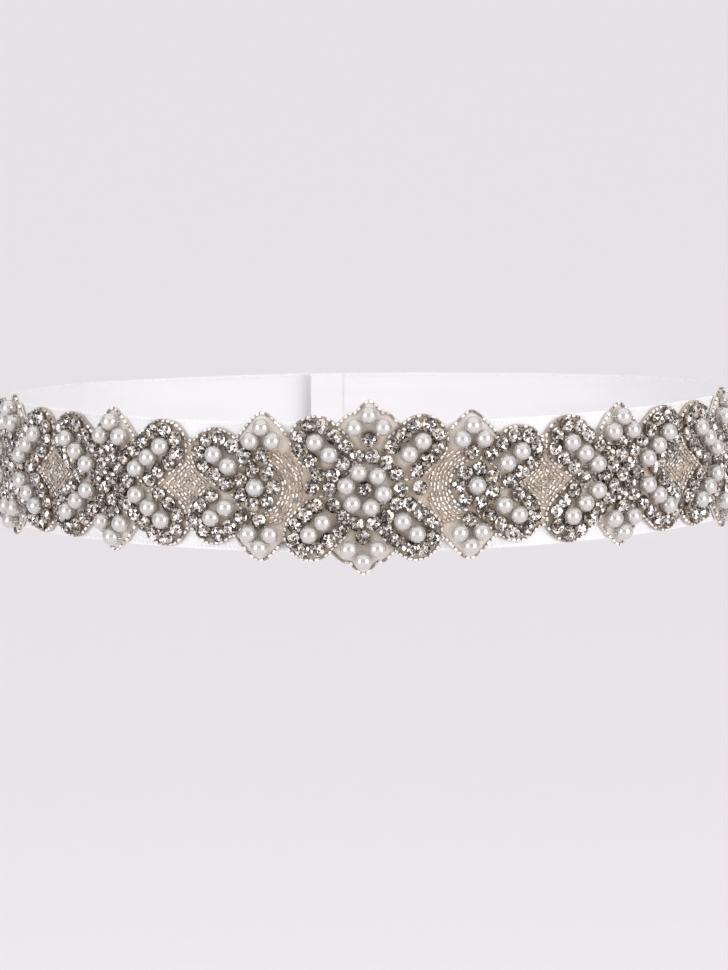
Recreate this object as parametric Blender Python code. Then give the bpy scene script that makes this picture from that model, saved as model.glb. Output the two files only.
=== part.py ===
"""A bridal sash, worn: a satin ribbon round the waist with a beaded panel sewn on its front.

Millimetres are written as 38 * MM. +Z is up and the front of the waist faces -Y. Every piece is laid
out flat first, by its distance round the waist from the centre front (positive towards +X), its height
on the ribbon and how far it stands out, and is then wrapped on the same waist curve, so that all the
layers follow each other.
"""

import math
from collections import namedtuple

import bpy
import numpy as np
from mathutils import Vector
from mathutils.geometry import delaunay_2d_cdt

MM = 0.001

# The waist and the ribbon
WAIST_HALF_WIDTH = 112 * MM
WAIST_HALF_DEPTH = 90 * MM
FRONT_DIP = 4 * MM  # how much lower the heavy beaded front hangs than the back
RIBBON_WIDTH = 38 * MM
CLOTH = 1.0 * MM
SEAM_GAP = 0.3 * MM
SHARP_DEGREES = 25
RIBBON_STEP = 6 * MM
RIBBON_ROWS = 4
WAVE_HEIGHT = 0.7 * MM  # the ribbon's soft edge waves, where nothing holds it flat
WAVE_FROM = 170 * MM
WAVE_CLEAR = 62 * MM  # no waves this near the centre back
WAVE_BLEND = 20 * MM

# The lap at the centre back
LAP = 40 * MM
LAP_RISE = 4.1 * MM  # the over end stands out by this, which leaves room for the hooks
LAP_RAMP = 48 * MM
HEM = 10 * MM
HEM_FOLD = 0.5 * MM  # a turned-under end is thicker by this, on the body's side

# The beaded panel
PLATE = 1.0 * MM
PLATE_STEP = 1.8 * MM
PLAN_MERGE = 1e-5  # in millimetres: points of the plan nearer than this are one
FIELD_HALF_HEIGHT = 13.5 * MM  # the panel between two motifs
END_TIP = 12.5 * MM  # past the last motif, with a pointed end whose sides bulge by this power
END_TIP_POWER = 0.6
END_TIP_CUT = 0.4 * MM
PEARL = 5.0 * MM
PEARL_PITCH = 5.4 * MM
PEARL_SEAT = 2.1 * MM  # a pearl's widest line above the panel
PEARL_SIDES = 6
PEARL_SHOULDER = 0.84
STONE = 4.2 * MM
STONE_PITCH = 4.3 * MM
STONE_HEIGHT = 2.6 * MM
STONE_CORNER = 2.35 * MM
STONE_TABLE = 1.45 * MM
LOOP_RADIUS = 5.0 * MM  # from a leaf's row of pearls to its stones
LEAF_RADIUS = 8.0 * MM  # from the same row to the leaf's edge
STONES_APART = 0.9 * STONE
STONE_TO_PEARL = 0.95 * (STONE + PEARL) / 2

# A motif covers one stretch of the panel, start to end round the waist, about its centre. It leans
# when its top is sewn on a little further towards +X than its bottom, on both sides.
Motif = namedtuple("Motif", "name kind centre start end lean")
MEDALLION = Motif("medallion", "medallion", 0, -24.0 * MM, 24.0 * MM, 1.0 * MM)
FLOWER = Motif("flower", "flower", 31.9 * MM, 24.0 * MM, 52.8 * MM, 0.5 * MM)
CROSS = Motif("cross", "cross", 78.1 * MM, 52.8 * MM, 102.85 * MM, 0)
END_CROSS = Motif("end_cross", "cross", 127.6 * MM, 102.85 * MM, 152.8 * MM, 0)

# A leaf's middle from its motif's centre, the way it points, its pearls, and where its two rows of
# stones begin, measured along the leaf from its middle.
Leaf = namedtuple("Leaf", "along up angle pearls outer_row inner_row")
LEAVES = {
    "medallion": Leaf(13.4 * MM, 11.7 * MM, 42.8, 2, -4.5 * MM, -4.5 * MM),
    "flower": Leaf(10.6 * MM, 7.7 * MM, 36.0, 2, -4.5 * MM, -5.0 * MM),
    "cross": Leaf(13.1 * MM, 7.4 * MM, 40.0, 3, -7.0 * MM, -4.4 * MM),
}

# The three pearls at the top and bottom of a motif, with the stone under them, and the arched edge
# above them: its peak, how steeply it falls, and how round the peak is. Inward is how much nearer to
# the centre front they are than their motif's centre.
Trefoil = namedtuple("Trefoil", "inward stone_up low_spread low_up top_up peak fall round")
TREFOILS = {
    "medallion": Trefoil(0, 13.8 * MM, 4.1 * MM, 17.8 * MM, 21.4 * MM, 25.8 * MM, 0.7, 4.0 * MM),
    "flower": Trefoil(1.5 * MM, 9.8 * MM, 3.2 * MM, 13.7 * MM, 17.7 * MM, 22.1 * MM, 1.3, 3.2 * MM),
    "cross": Trefoil(0, 9.7 * MM, 3.3 * MM, 12.9 * MM, 17.1 * MM, 21.4 * MM, 1.5, 3.0 * MM),
}
LEAF_CIRCLES = 9  # a leaf's outline is worked out from this many circles along it
MEDALLION_PEARLS = 6
MEDALLION_PEARL_RING = 5.6 * MM
MEDALLION_FIRST_PEARL = 48.0
MEDALLION_STONES = 14
MEDALLION_STONE_RING = 10.4 * MM
SIDE_STONE = 15.5 * MM
FLOWER_STONES = 7
FLOWER_STONE_RING = 5.1 * MM
CLUSTER_PITCH = 4.1 * MM
END_PEARLS_PAST = 2.6 * MM  # the pearls of the pointed end, past the last motif
END_PEARL_SPREAD = 2.9 * MM
END_PEARL_STEP = 4.7 * MM

# The hooks and bars in the lap
HOOK_UP = 9 * MM
HOOK_WIDTH = 5 * MM
HOOK_LENGTH = 9 * MM
HOOK_PLATE = 0.5 * MM
TONGUE = 0.4 * MM
BAR_LENGTH = 10 * MM
BAR_FOOT = 1.6 * MM
BAR_WIDTH = 1.6 * MM
BAR_THICK = 0.5 * MM
BAR_FROM_EDGE = 7 * MM  # from the over end's edge

# Colour, roughness and metallic value of each finish
Finish = namedtuple("Finish", "colour roughness metallic")
FINISHES = {
    "satin": Finish((0.90, 0.89, 0.92), 0.35, 0.0),
    "beadwork": Finish((0.66, 0.62, 0.58), 0.3, 0.4),
    "hook_metal": Finish((0.62, 0.62, 0.61), 0.3, 1.0),
}


def ease(value, start, end):
    """0 before start, 1 after end, and smooth between them."""
    share = min(1.0, max(0.0, (value - start) / (end - start)))
    return share * share * (3 - 2 * share)


class Waist:
    """The closed curve that the ribbon's inner face follows, measured by its length."""

    def __init__(self, half_width, half_depth, steps=7200):
        self.half_width = half_width
        self.half_depth = half_depth
        self.turn = np.linspace(0, 2 * math.pi, steps + 1)
        across = half_width * np.sin(self.turn)
        deep = -half_depth * np.cos(self.turn)
        pieces = np.hypot(np.diff(across), np.diff(deep))
        self.length = np.concatenate([[0], np.cumsum(pieces)])
        self.round = float(self.length[-1])

    def angle(self, along):
        whole = math.floor(along / self.round)
        rest = along - whole * self.round
        return 2 * math.pi * whole + float(np.interp(rest, self.length, self.turn))

    def point(self, along, up, out):
        """The place of a point of the flat layout."""
        turn = self.angle(along)
        normal = Vector((self.half_depth * math.sin(turn), -self.half_width * math.cos(turn), 0))
        normal.normalize()
        dip = FRONT_DIP * max(0.0, math.cos(turn)) ** 2
        foot = Vector((self.half_width * math.sin(turn), -self.half_depth * math.cos(turn), up - dip))
        return foot + normal * out


WAIST = Waist(WAIST_HALF_WIDTH, WAIST_HALF_DEPTH)
HALF_ROUND = WAIST.round / 2


def finish(name):
    """The material of that name, made once."""
    found = bpy.data.materials.get(name)
    if found:
        return found
    material = bpy.data.materials.new(name)
    material.use_nodes = True
    shader = material.node_tree.nodes["Principled BSDF"]
    values = FINISHES[name]
    shader.inputs["Base Color"].default_value = (*values.colour, 1)
    shader.inputs["Roughness"].default_value = values.roughness
    shader.inputs["Metallic"].default_value = values.metallic
    return material


def add_piece(name, points, faces, material):
    """A named object from flat-layout points (along, up, out) and faces."""
    mesh = bpy.data.meshes.new(name)
    mesh.from_pydata([WAIST.point(*point) for point in points], [], faces)
    mesh.materials.append(finish(material))
    mesh.shade_smooth()
    mesh.set_sharp_from_angle(angle=math.radians(SHARP_DEGREES))
    piece = bpy.data.objects.new(name, mesh)
    bpy.context.scene.collection.objects.link(piece)
    return piece


# The ribbon


def ribbon_lift(along):
    """How far the ribbon stands off the waist: the over end rises over the under end."""
    lap_start = -(HALF_ROUND - LAP / 2)
    return LAP_RISE * (1 - ease(along, lap_start - SEAM_GAP, lap_start + LAP_RAMP))


def ribbon_wave(along, up):
    """The soft waves of the loose edges at the sides of the back."""
    far = abs(along)
    free = ease(far, WAVE_FROM, WAVE_FROM + WAVE_BLEND)
    free *= 1 - ease(far, HALF_ROUND - WAVE_CLEAR - WAVE_BLEND, HALF_ROUND - WAVE_CLEAR)
    edge = 2 * up / RIBBON_WIDTH
    swing = math.sin(far / (9.1 * MM) + edge) + 0.6 * math.sin(far / (5.3 * MM) - 1.7 * edge)
    return WAVE_HEIGHT * free * edge * edge * (0.5 + 0.5 * swing)


def ribbon_stations():
    """The sections along the ribbon, with a close pair where each hem begins."""
    end = HALF_ROUND + LAP / 2
    count = math.ceil(2 * (end - HEM) / RIBBON_STEP)
    inner = [-(end - HEM) + 2 * (end - HEM) * i / count for i in range(count + 1)]
    step = SEAM_GAP
    return [-end, inner[0] - step, *inner, inner[-1] + step, end]


def make_ribbon():
    """The satin ribbon, once round the waist, with its ends lapped at the centre back."""
    stations = ribbon_stations()
    end = HALF_ROUND + LAP / 2
    points, faces = [], []
    for along in stations:
        hemmed = HEM_FOLD if abs(along) > end - HEM + SEAM_GAP / 2 else 0.0
        for face_out, fold in ((CLOTH, 0.0), (0.0, hemmed)):
            for row in range(RIBBON_ROWS + 1):
                up = RIBBON_WIDTH * (row / RIBBON_ROWS - 0.5)
                out = face_out - fold + ribbon_lift(along) + ribbon_wave(along, up)
                points.append((along, up, out))
    rows = RIBBON_ROWS + 1
    ring = [*range(rows), *reversed(range(rows, 2 * rows))]
    sections = [[2 * rows * i + corner for corner in ring] for i in range(len(stations))]
    for near, far in zip(sections, sections[1:]):
        for k in range(len(ring)):
            after = (k + 1) % len(ring)
            faces.append((near[k], far[k], far[after], near[after]))
    for section, turned in ((sections[0], False), (sections[-1], True)):
        for k in range(RIBBON_ROWS):
            quad = (section[k], section[k + 1], section[-2 - k], section[-1 - k])
            faces.append(quad[::-1] if turned else quad)
    add_piece("satin_ribbon", points, faces, "satin")


# The plan of the beaded panel


def leaning(motif, side):
    """The motif as laid out to the right, for a copy that is turned over where side is -1."""
    return motif._replace(lean=side * motif.lean)


def leaf_axes(leaf, side, rise):
    """A leaf's own directions, lengthways and crossways, in the quarter that side and rise give."""
    angle = math.radians(leaf.angle)
    lengthways = Vector((side * math.cos(angle), rise * math.sin(angle)))
    crossways = Vector((-side * math.sin(angle), rise * math.cos(angle)))
    return lengthways, crossways


def leaf_middle(motif, leaf, side, rise):
    return Vector((motif.centre + side * leaf.along + rise * motif.lean, rise * leaf.up))


def leaf_pearls(motif, leaf, side, rise):
    lengthways, _ = leaf_axes(leaf, side, rise)
    middle = leaf_middle(motif, leaf, side, rise)
    first = -(leaf.pearls - 1) / 2
    return [middle + lengthways * (first + i) * PEARL_PITCH for i in range(leaf.pearls)]


def leaf_stones(motif, leaf, side, rise):
    """The stones round a leaf: out along one row, round the tip and back, open at the root."""
    lengthways, crossways = leaf_axes(leaf, side, rise)
    middle = leaf_middle(motif, leaf, side, rise)
    half = (leaf.pearls - 1) / 2 * PEARL_PITCH
    first, tip, second = half - leaf.outer_row, math.pi * LOOP_RADIUS, half - leaf.inner_row
    count = round((first + tip + second) / STONE_PITCH)
    found = []
    for i in range(count + 1):
        way = (first + tip + second) * i / count
        turn = min(1.0, max(0.0, (way - first) / tip)) * math.pi
        if way < first:
            place = leaf.outer_row + way
        else:
            place = half - max(0.0, way - first - tip)
        spot = lengthways * (place + LOOP_RADIUS * math.sin(turn))
        spot += crossways * LOOP_RADIUS * math.cos(turn)
        heading = math.atan2(lengthways.y, lengthways.x) + (-side * rise) * turn
        found.append((middle + spot, heading))
    return found


def ring_spots(centre, radius, count, first_degrees):
    """Places evenly round a ring, each with the way the ring runs there."""
    found = []
    for i in range(count):
        angle = math.radians(first_degrees) + 2 * math.pi * i / count
        spot = Vector((centre + radius * math.cos(angle), radius * math.sin(angle)))
        found.append((spot, angle + math.pi / 2))
    return found


def cluster_spots(centre):
    """Nine stones in a square that stands on its corner."""
    slant = CLUSTER_PITCH / math.sqrt(2)
    return [
        (Vector((centre + (i + j) * slant, (i - j) * slant)), math.pi / 4)
        for i in (-1, 0, 1)
        for j in (-1, 0, 1)
    ]


def motif_plan(motif):
    """The pearls and the stones of a motif at or to the right of the centre front."""
    leaf, trefoil = LEAVES[motif.kind], TREFOILS[motif.kind]
    pearls, stones = [], []
    if motif.kind == "medallion":
        ring = ring_spots(0, MEDALLION_PEARL_RING, MEDALLION_PEARLS, MEDALLION_FIRST_PEARL)
        pearls += [spot for spot, _ in ring]
        stones += [(Vector((0, 0)), 0)]
        stones += ring_spots(0, MEDALLION_STONE_RING, MEDALLION_STONES, 0)
        stones += [(Vector((side * SIDE_STONE, 0)), 0) for side in (-1, 1)]
    elif motif.kind == "flower":
        pearls += [Vector((motif.centre, 0))]
        stones += ring_spots(motif.centre, FLOWER_STONE_RING, FLOWER_STONES, 180)
    else:
        stones += cluster_spots(motif.centre)
    for rise in (1, -1):
        middle = motif.centre - trefoil.inward + rise * motif.lean
        for spread, up in ((-1, trefoil.low_up), (1, trefoil.low_up), (0, trefoil.top_up)):
            pearls.append(Vector((middle + spread * trefoil.low_spread, rise * up)))
        stones.append((Vector((middle, rise * trefoil.stone_up)), 0))
    for side in leaf_sides(motif):
        for rise in (1, -1):
            pearls += leaf_pearls(motif, leaf, side, rise)
            stones += leaf_stones(motif, leaf, side, rise)
    if motif.name == "end_cross":
        first = motif.end + END_PEARLS_PAST
        pearls += [Vector((first, up * END_PEARL_SPREAD)) for up in (-1, 1)]
        pearls += [Vector((first + END_PEARL_STEP, 0))]
    return pearls, spaced_out(stones, pearls)


def leaf_sides(motif):
    """The flower has leaves only on the side away from the centre front."""
    return (1,) if motif.kind == "flower" else (1, -1)


def spaced_out(stones, pearls):
    """The stones in order, without any that would sit on an earlier one or on a pearl."""
    kept = []
    for spot, heading in stones:
        clear_of_stones = all((spot - other).length > STONES_APART for other, _ in kept)
        if clear_of_stones and all((spot - pearl).length > STONE_TO_PEARL for pearl in pearls):
            kept.append((spot, heading))
    return kept


def leaf_top(along, middle, lengthways, half):
    """How high a leaf's round-ended outline reaches at one place, or 0 beside it."""
    top = 0.0
    for i in range(LEAF_CIRCLES):
        spot = middle + lengthways * half * (2 * i / (LEAF_CIRCLES - 1) - 1)
        reach = LEAF_RADIUS**2 - (along - spot.x) ** 2
        if reach > 0:
            top = max(top, spot.y + math.sqrt(reach))
    return top


def motif_top(along, motif, rise):
    """How high a motif's leaves and arch reach at one place, on its upper or its lower half."""
    leaf, trefoil = LEAVES[motif.kind], TREFOILS[motif.kind]
    off = along - (motif.centre - trefoil.inward + rise * motif.lean)
    top = trefoil.peak - trefoil.fall * (math.hypot(off, trefoil.round) - trefoil.round)
    half = (leaf.pearls - 1) / 2 * PEARL_PITCH
    for side in leaf_sides(motif):
        lengthways, _ = leaf_axes(leaf, side, 1)
        middle = leaf_middle(motif, leaf, side, rise)
        middle.y = leaf.up
        top = max(top, leaf_top(along, middle, lengthways, half))
    return top


def panel_edge(along, rise):
    """How far the panel reaches up, or down where rise is -1, at a distance from the centre front."""
    past = abs(along) - END_CROSS.end
    if past > 0:
        return FIELD_HALF_HEIGHT * max(0.0, 1 - past / END_TIP) ** END_TIP_POWER
    side = math.copysign(1, along)
    tops = [motif_top(abs(along), leaning(motif, side), rise) for motif in (FLOWER, CROSS, END_CROSS)]
    return max(FIELD_HALF_HEIGHT, motif_top(along, MEDALLION, rise), *tops)


# The beaded panel's solids


def polygon(centre, radius, sides, heading):
    turns = [heading + 2 * math.pi * i / sides for i in range(sides)]
    return [centre + radius * Vector((math.cos(turn), math.sin(turn))) for turn in turns]


def pearl_rings(spot):
    """A pearl as rings of its plan with their heights above the panel."""
    radius = PEARL / 2
    shoulder = PEARL_SHOULDER * radius
    crown = PEARL_SEAT + math.sqrt(radius**2 - shoulder**2)
    return [
        (polygon(spot, radius, PEARL_SIDES, 0), 0.0),
        (polygon(spot, shoulder, PEARL_SIDES, 0), crown),
        ([spot], PEARL_SEAT + radius),
    ]


def stone_rings(spot, heading):
    """A stone in its cup: a square block with sloping sides and a flat table."""
    corner = heading + math.pi / 4
    return [
        (polygon(spot, STONE_CORNER, 4, corner), 0.0),
        (polygon(spot, STONE_TABLE, 4, corner), STONE_HEIGHT),
    ]


def motif_sections(motif):
    """The stations of a motif's stretch."""
    start, end = motif.start + SEAM_GAP / 2, motif.end - SEAM_GAP / 2
    if motif is END_CROSS:
        end = motif.end + END_TIP - END_TIP_CUT
    count = math.ceil((end - start) / PLATE_STEP)
    return [start + (end - start) * i / count for i in range(count + 1)]


def make_motif(name, motif, side):
    """One motif: a scalloped plate with a plain inside, pearls and stones raised in its outer points."""
    stations = [side * along for along in motif_sections(motif)]
    if side < 0:
        stations.reverse()
    upper = [Vector((along, panel_edge(along, 1))) for along in stations]
    lower = [Vector((along, -panel_edge(along, -1))) for along in stations]
    outline = lower + upper[::-1]
    plan, edges, heights = [], [], []

    def add_ring(ring, height):
        first = len(plan)
        plan.extend(point / MM for point in ring)
        heights.extend([height] * len(ring))
        if len(ring) > 2:
            edges.extend((first + i, first + (i + 1) % len(ring)) for i in range(len(ring)))

    add_ring(outline, 0.0)
    pearls, stones = motif_plan(leaning(motif, side))
    turned = Vector((side, 1))
    for spot in pearls:
        for ring, height in pearl_rings(spot * turned):
            add_ring(ring, height)
    for spot, heading in stones:
        for ring, height in stone_rings(spot * turned, heading * side):
            add_ring(ring, height)
    flat, _, triangles, sources, _, _ = delaunay_2d_cdt(plan, edges, [], 1, PLAN_MERGE)
    panel_in = CLOTH + SEAM_GAP
    panel_out = panel_in + PLATE
    points, rim = [], {}
    for index, (spot, source) in enumerate(zip(flat, sources)):
        height = heights[source[0]] if source else 0.0
        points.append((spot.x * MM, spot.y * MM, panel_out + height))
        for number in source:
            if number < len(outline):
                rim[number] = index
    faces = [tuple(triangle) for triangle in triangles]
    count = len(stations)
    inner = len(points)
    points += [(spot.x, spot.y, panel_in) for spot in outline]
    total = len(outline)
    for i in range(total):
        after = (i + 1) % total
        faces.append((rim[after], rim[i], inner + i, inner + after))
    for i in range(count - 1):
        faces.append((inner + i, inner + total - 1 - i, inner + total - 2 - i, inner + i + 1))
    add_piece(name, points, faces, "beadwork")


def make_panel():
    make_motif("medallion", MEDALLION, 1)
    for motif in (FLOWER, CROSS, END_CROSS):
        make_motif(motif.name + "_right", motif, 1)
        make_motif(motif.name + "_left", motif, -1)


# The hooks and bars


def make_prism(name, profile, low, high, place, material):
    """A closed profile pushed from low to high, its points sent through place(first, second, level)."""
    count = len(profile)
    points = [place(*corner, level) for level in (low, high) for corner in profile]
    faces = [tuple(reversed(range(count))), tuple(range(count, 2 * count))]
    faces += [(i, (i + 1) % count, count + (i + 1) % count, count + i) for i in range(count)]
    piece = add_piece(name, points, faces, material)
    volume = sum(
        piece.data.vertices[face.vertices[0]].co.dot(face.normal) * face.area
        for face in piece.data.polygons
    )
    if volume < 0:
        piece.data.flip_normals()


def make_fastening(name, up):
    """A flat hook under the over end, its tongue passed behind a bar sewn on the under end."""
    edge = HALF_ROUND - LAP / 2
    bar_middle = edge + BAR_FROM_EDGE
    plate_out = LAP_RISE - HEM_FOLD - SEAM_GAP
    tongue_in = CLOTH + SEAM_GAP
    bend = bar_middle - BAR_WIDTH / 2 - SEAM_GAP
    back = bar_middle + BAR_WIDTH / 2 + TONGUE
    far = bend - TONGUE
    plate_end = bend + HOOK_LENGTH
    hook = [
        (plate_end, plate_out),
        (plate_end, plate_out - HOOK_PLATE),
        (bend, plate_out - HOOK_PLATE),
        (bend, tongue_in + TONGUE),
        (back, tongue_in + TONGUE),
        (back, tongue_in),
        (far, tongue_in),
        (far, plate_out),
    ]
    half = HOOK_WIDTH / 2
    make_prism("hook_" + name, hook, up - half, up + half, lambda a, o, z: (a, z, o), "hook_metal")
    bar_out = plate_out - HOOK_PLATE - SEAM_GAP
    under = bar_out - BAR_THICK
    reach = BAR_LENGTH / 2
    bar = [
        (up - reach, tongue_in),
        (up - reach + BAR_FOOT, tongue_in),
        (up - reach + BAR_FOOT, under),
        (up + reach - BAR_FOOT, under),
        (up + reach - BAR_FOOT, tongue_in),
        (up + reach, tongue_in),
        (up + reach, bar_out),
        (up - reach, bar_out),
    ]
    low, high = bar_middle - BAR_WIDTH / 2, bar_middle + BAR_WIDTH / 2
    make_prism("bar_" + name, bar, low, high, lambda z, o, a: (a, z, o), "hook_metal")


def main():
    for leftover in list(bpy.data.objects):
        bpy.data.objects.remove(leftover, do_unlink=True)
    make_ribbon()
    make_panel()
    make_fastening("upper", HOOK_UP)
    make_fastening("lower", -HOOK_UP)


main()
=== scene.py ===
"""The looks of a bridal sash: a satin ribbon and its beaded front panel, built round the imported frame.

Everything is laid out flat first, by its distance round the waist from the centre front (along,
positive towards +X), its height on the ribbon (up) and how far it stands out (out), and is then wrapped
on the waist curve. Lengths are in metres, and millimetres are written as 38 * MM.
"""

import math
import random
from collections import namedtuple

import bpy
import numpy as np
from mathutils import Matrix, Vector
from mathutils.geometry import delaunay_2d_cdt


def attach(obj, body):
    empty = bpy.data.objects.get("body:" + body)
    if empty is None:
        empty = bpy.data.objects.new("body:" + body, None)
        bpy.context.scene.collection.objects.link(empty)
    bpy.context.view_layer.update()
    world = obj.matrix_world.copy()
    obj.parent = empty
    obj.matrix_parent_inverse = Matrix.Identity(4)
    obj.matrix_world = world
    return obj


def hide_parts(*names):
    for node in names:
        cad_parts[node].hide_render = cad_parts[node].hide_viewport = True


bl_info = {
    "name": "Bridal Sash",
    "version": (1, 0, 0),
    "blender": (4, 5, 0),
    "location": "View3D > Sidebar > Sash",
    "description": "Builds a satin sash with a pearl, crystal and seed bead panel",
    "category": "Add Mesh",
}

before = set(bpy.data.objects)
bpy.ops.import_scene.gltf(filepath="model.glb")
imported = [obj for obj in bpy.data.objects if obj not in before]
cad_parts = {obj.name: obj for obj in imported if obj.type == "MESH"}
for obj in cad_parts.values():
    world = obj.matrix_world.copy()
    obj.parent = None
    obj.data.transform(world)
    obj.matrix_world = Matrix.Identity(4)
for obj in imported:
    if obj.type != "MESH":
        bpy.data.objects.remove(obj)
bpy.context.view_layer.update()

MM = 0.001
BODY = "root"

# The waist and the ribbon, as the frame has them
WAIST_HALF_WIDTH = 112 * MM
WAIST_HALF_DEPTH = 90 * MM
FRONT_DIP = 4 * MM
LAP = 40 * MM
LAP_RISE = 4.1 * MM
LAP_RAMP = 48 * MM
HEM = 10 * MM
SEAM_GAP = 0.3 * MM
WAVE_HEIGHT = 0.7 * MM
WAVE_FROM = 170 * MM
WAVE_CLEAR = 62 * MM
WAVE_BLEND = 20 * MM

# The beaded panel's plan, as the frame has it
FIELD_HALF_HEIGHT = 13.5 * MM
END_TIP = 12.5 * MM
END_TIP_POWER = 0.6
END_TIP_CUT = 0.4 * MM
PEARL_PITCH = 5.4 * MM
STONE_PITCH = 4.3 * MM
LOOP_RADIUS = 5.0 * MM
LEAF_RADIUS = 8.0 * MM
LEAF_CIRCLES = 9
STONES_APART = 3.7 * MM
STONE_TO_PEARL = 4.2 * MM
MEDALLION_PEARLS = 6
MEDALLION_PEARL_RING = 5.4 * MM
MEDALLION_FIRST_PEARL = 48.0
MEDALLION_STONES = 14
MEDALLION_STONE_RING = 10.1 * MM
SIDE_STONE = 15.5 * MM
HEART = Vector((-0.3 * MM, -0.4 * MM))
CORNER_STONE = (13.6 * MM, 3.9 * MM)
FLOWER_STONES = 7
FLOWER_STONE_RING = 5.1 * MM
CLUSTER_PITCH = 4.1 * MM
END_PEARLS_PAST = 2.6 * MM
END_PEARL_SPREAD = 2.9 * MM
END_PEARL_STEP = 4.7 * MM

Motif = namedtuple("Motif", "name kind centre start end lean")
MEDALLION = Motif("medallion", "medallion", 0, -24.0 * MM, 24.0 * MM, 1.0 * MM)
FLOWER = Motif("flower", "flower", 31.9 * MM, 24.0 * MM, 52.8 * MM, 0.5 * MM)
CROSS = Motif("cross", "cross", 78.1 * MM, 52.8 * MM, 102.85 * MM, 0)
END_CROSS = Motif("end_cross", "cross", 127.6 * MM, 102.85 * MM, 152.8 * MM, 0)
SIDE_MOTIFS = (FLOWER, CROSS, END_CROSS)

Leaf = namedtuple("Leaf", "along up angle pearls outer_row inner_row")
LEAVES = {
    "medallion": Leaf(13.4 * MM, 11.7 * MM, 42.8, 2, -4.5 * MM, -4.5 * MM),
    "flower": Leaf(10.6 * MM, 7.7 * MM, 36.0, 2, -4.5 * MM, -5.0 * MM),
    "cross": Leaf(13.1 * MM, 7.4 * MM, 40.0, 3, -7.0 * MM, -4.4 * MM),
}

Trefoil = namedtuple("Trefoil", "inward stone_up low_spread low_up top_up peak fall round")
TREFOILS = {
    "medallion": Trefoil(0, 14.1 * MM, 4.1 * MM, 17.8 * MM, 21.4 * MM, 25.8 * MM, 1.35, 2.0 * MM),
    "flower": Trefoil(1.5 * MM, 9.8 * MM, 3.2 * MM, 13.7 * MM, 17.7 * MM, 22.1 * MM, 1.3, 3.2 * MM),
    "cross": Trefoil(0, 9.7 * MM, 3.3 * MM, 12.9 * MM, 17.1 * MM, 21.4 * MM, 1.5, 3.0 * MM),
}

# Heights above the waist's surface, from the body outwards
HEM_OUT = 0.18 * MM
RIBBON_OUT = 0.72 * MM
BACKING_IN = 1.33 * MM
BACKING_EDGE = 1.70 * MM
BACKING_OUT = 1.95 * MM
STONE_OUT = 1.95 * MM
BEAD_OUT = 2.30 * MM
PEARL_OUT = 4.3 * MM

# Soft creases of the ribbon where it is free of the panel. Turn is the crease's slant in degrees.
Crease = namedtuple("Crease", "along up length width depth turn")
CREASES = [
    Crease(171 * MM, 5 * MM, 30 * MM, 3.4 * MM, 0.55 * MM, 14),
    Crease(187 * MM, -7 * MM, 38 * MM, 4.2 * MM, -0.50 * MM, -9),
    Crease(206 * MM, 3 * MM, 46 * MM, 3.0 * MM, 0.60 * MM, 7),
    Crease(227 * MM, -4 * MM, 34 * MM, 3.8 * MM, 0.45 * MM, -12),
    Crease(244 * MM, 8 * MM, 42 * MM, 3.2 * MM, -0.55 * MM, 5),
    Crease(266 * MM, -2 * MM, 50 * MM, 4.4 * MM, 0.50 * MM, -4),
    Crease(285 * MM, 6 * MM, 26 * MM, 2.6 * MM, 0.35 * MM, 10),
    Crease(-170 * MM, -6 * MM, 34 * MM, 3.6 * MM, 0.50 * MM, -11),
    Crease(-184 * MM, 4 * MM, 28 * MM, 3.0 * MM, -0.45 * MM, 16),
    Crease(-200 * MM, -3 * MM, 52 * MM, 4.0 * MM, 0.60 * MM, 6),
    Crease(-223 * MM, 7 * MM, 36 * MM, 3.2 * MM, 0.50 * MM, -8),
    Crease(-241 * MM, -8 * MM, 44 * MM, 3.6 * MM, -0.50 * MM, -5),
    Crease(-260 * MM, 2 * MM, 40 * MM, 4.6 * MM, 0.55 * MM, 9),
    Crease(-281 * MM, -5 * MM, 30 * MM, 2.8 * MM, 0.40 * MM, -7),
]


def ease(value, start, end):
    """0 before start, 1 after end, and smooth between them."""
    share = min(1.0, max(0.0, (value - start) / (end - start)))
    return share * share * (3 - 2 * share)


# What a user may change


def length(name, description, default):
    return bpy.props.FloatProperty(
        name=name, description=description, default=default, min=0, unit="LENGTH", precision=5
    )


def colour(name, description, default):
    return bpy.props.FloatVectorProperty(
        name=name, description=description, default=default, min=0, max=1, size=3, subtype="COLOR"
    )


class SashCloth(bpy.types.PropertyGroup):
    """Sizes and colours of the ribbon and of the panel's backing cloth."""

    ribbon_width: length("Ribbon width", "From selvedge to selvedge", 38 * MM)
    ribbon_thickness: length("Ribbon thickness", "Of one layer of satin", 0.42 * MM)
    selvedge: length("Selvedge", "Width of the thicker woven edge", 0.9 * MM)
    rib_pitch: length("Rib pitch", "From one slanted rib of the selvedge to the next", 1.25 * MM)
    stitch_pitch: length("Stitch pitch", "From stitch to stitch along a hem", 2.6 * MM)
    satin: colour("Satin", "Colour of the ribbon", (0.84, 0.835, 0.85))
    ivory: colour("Backing", "Colour of the cloth under the beads", (0.86, 0.805, 0.735))
    thread: colour("Thread", "Colour of the sewing thread", (0.86, 0.84, 0.82))


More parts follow.
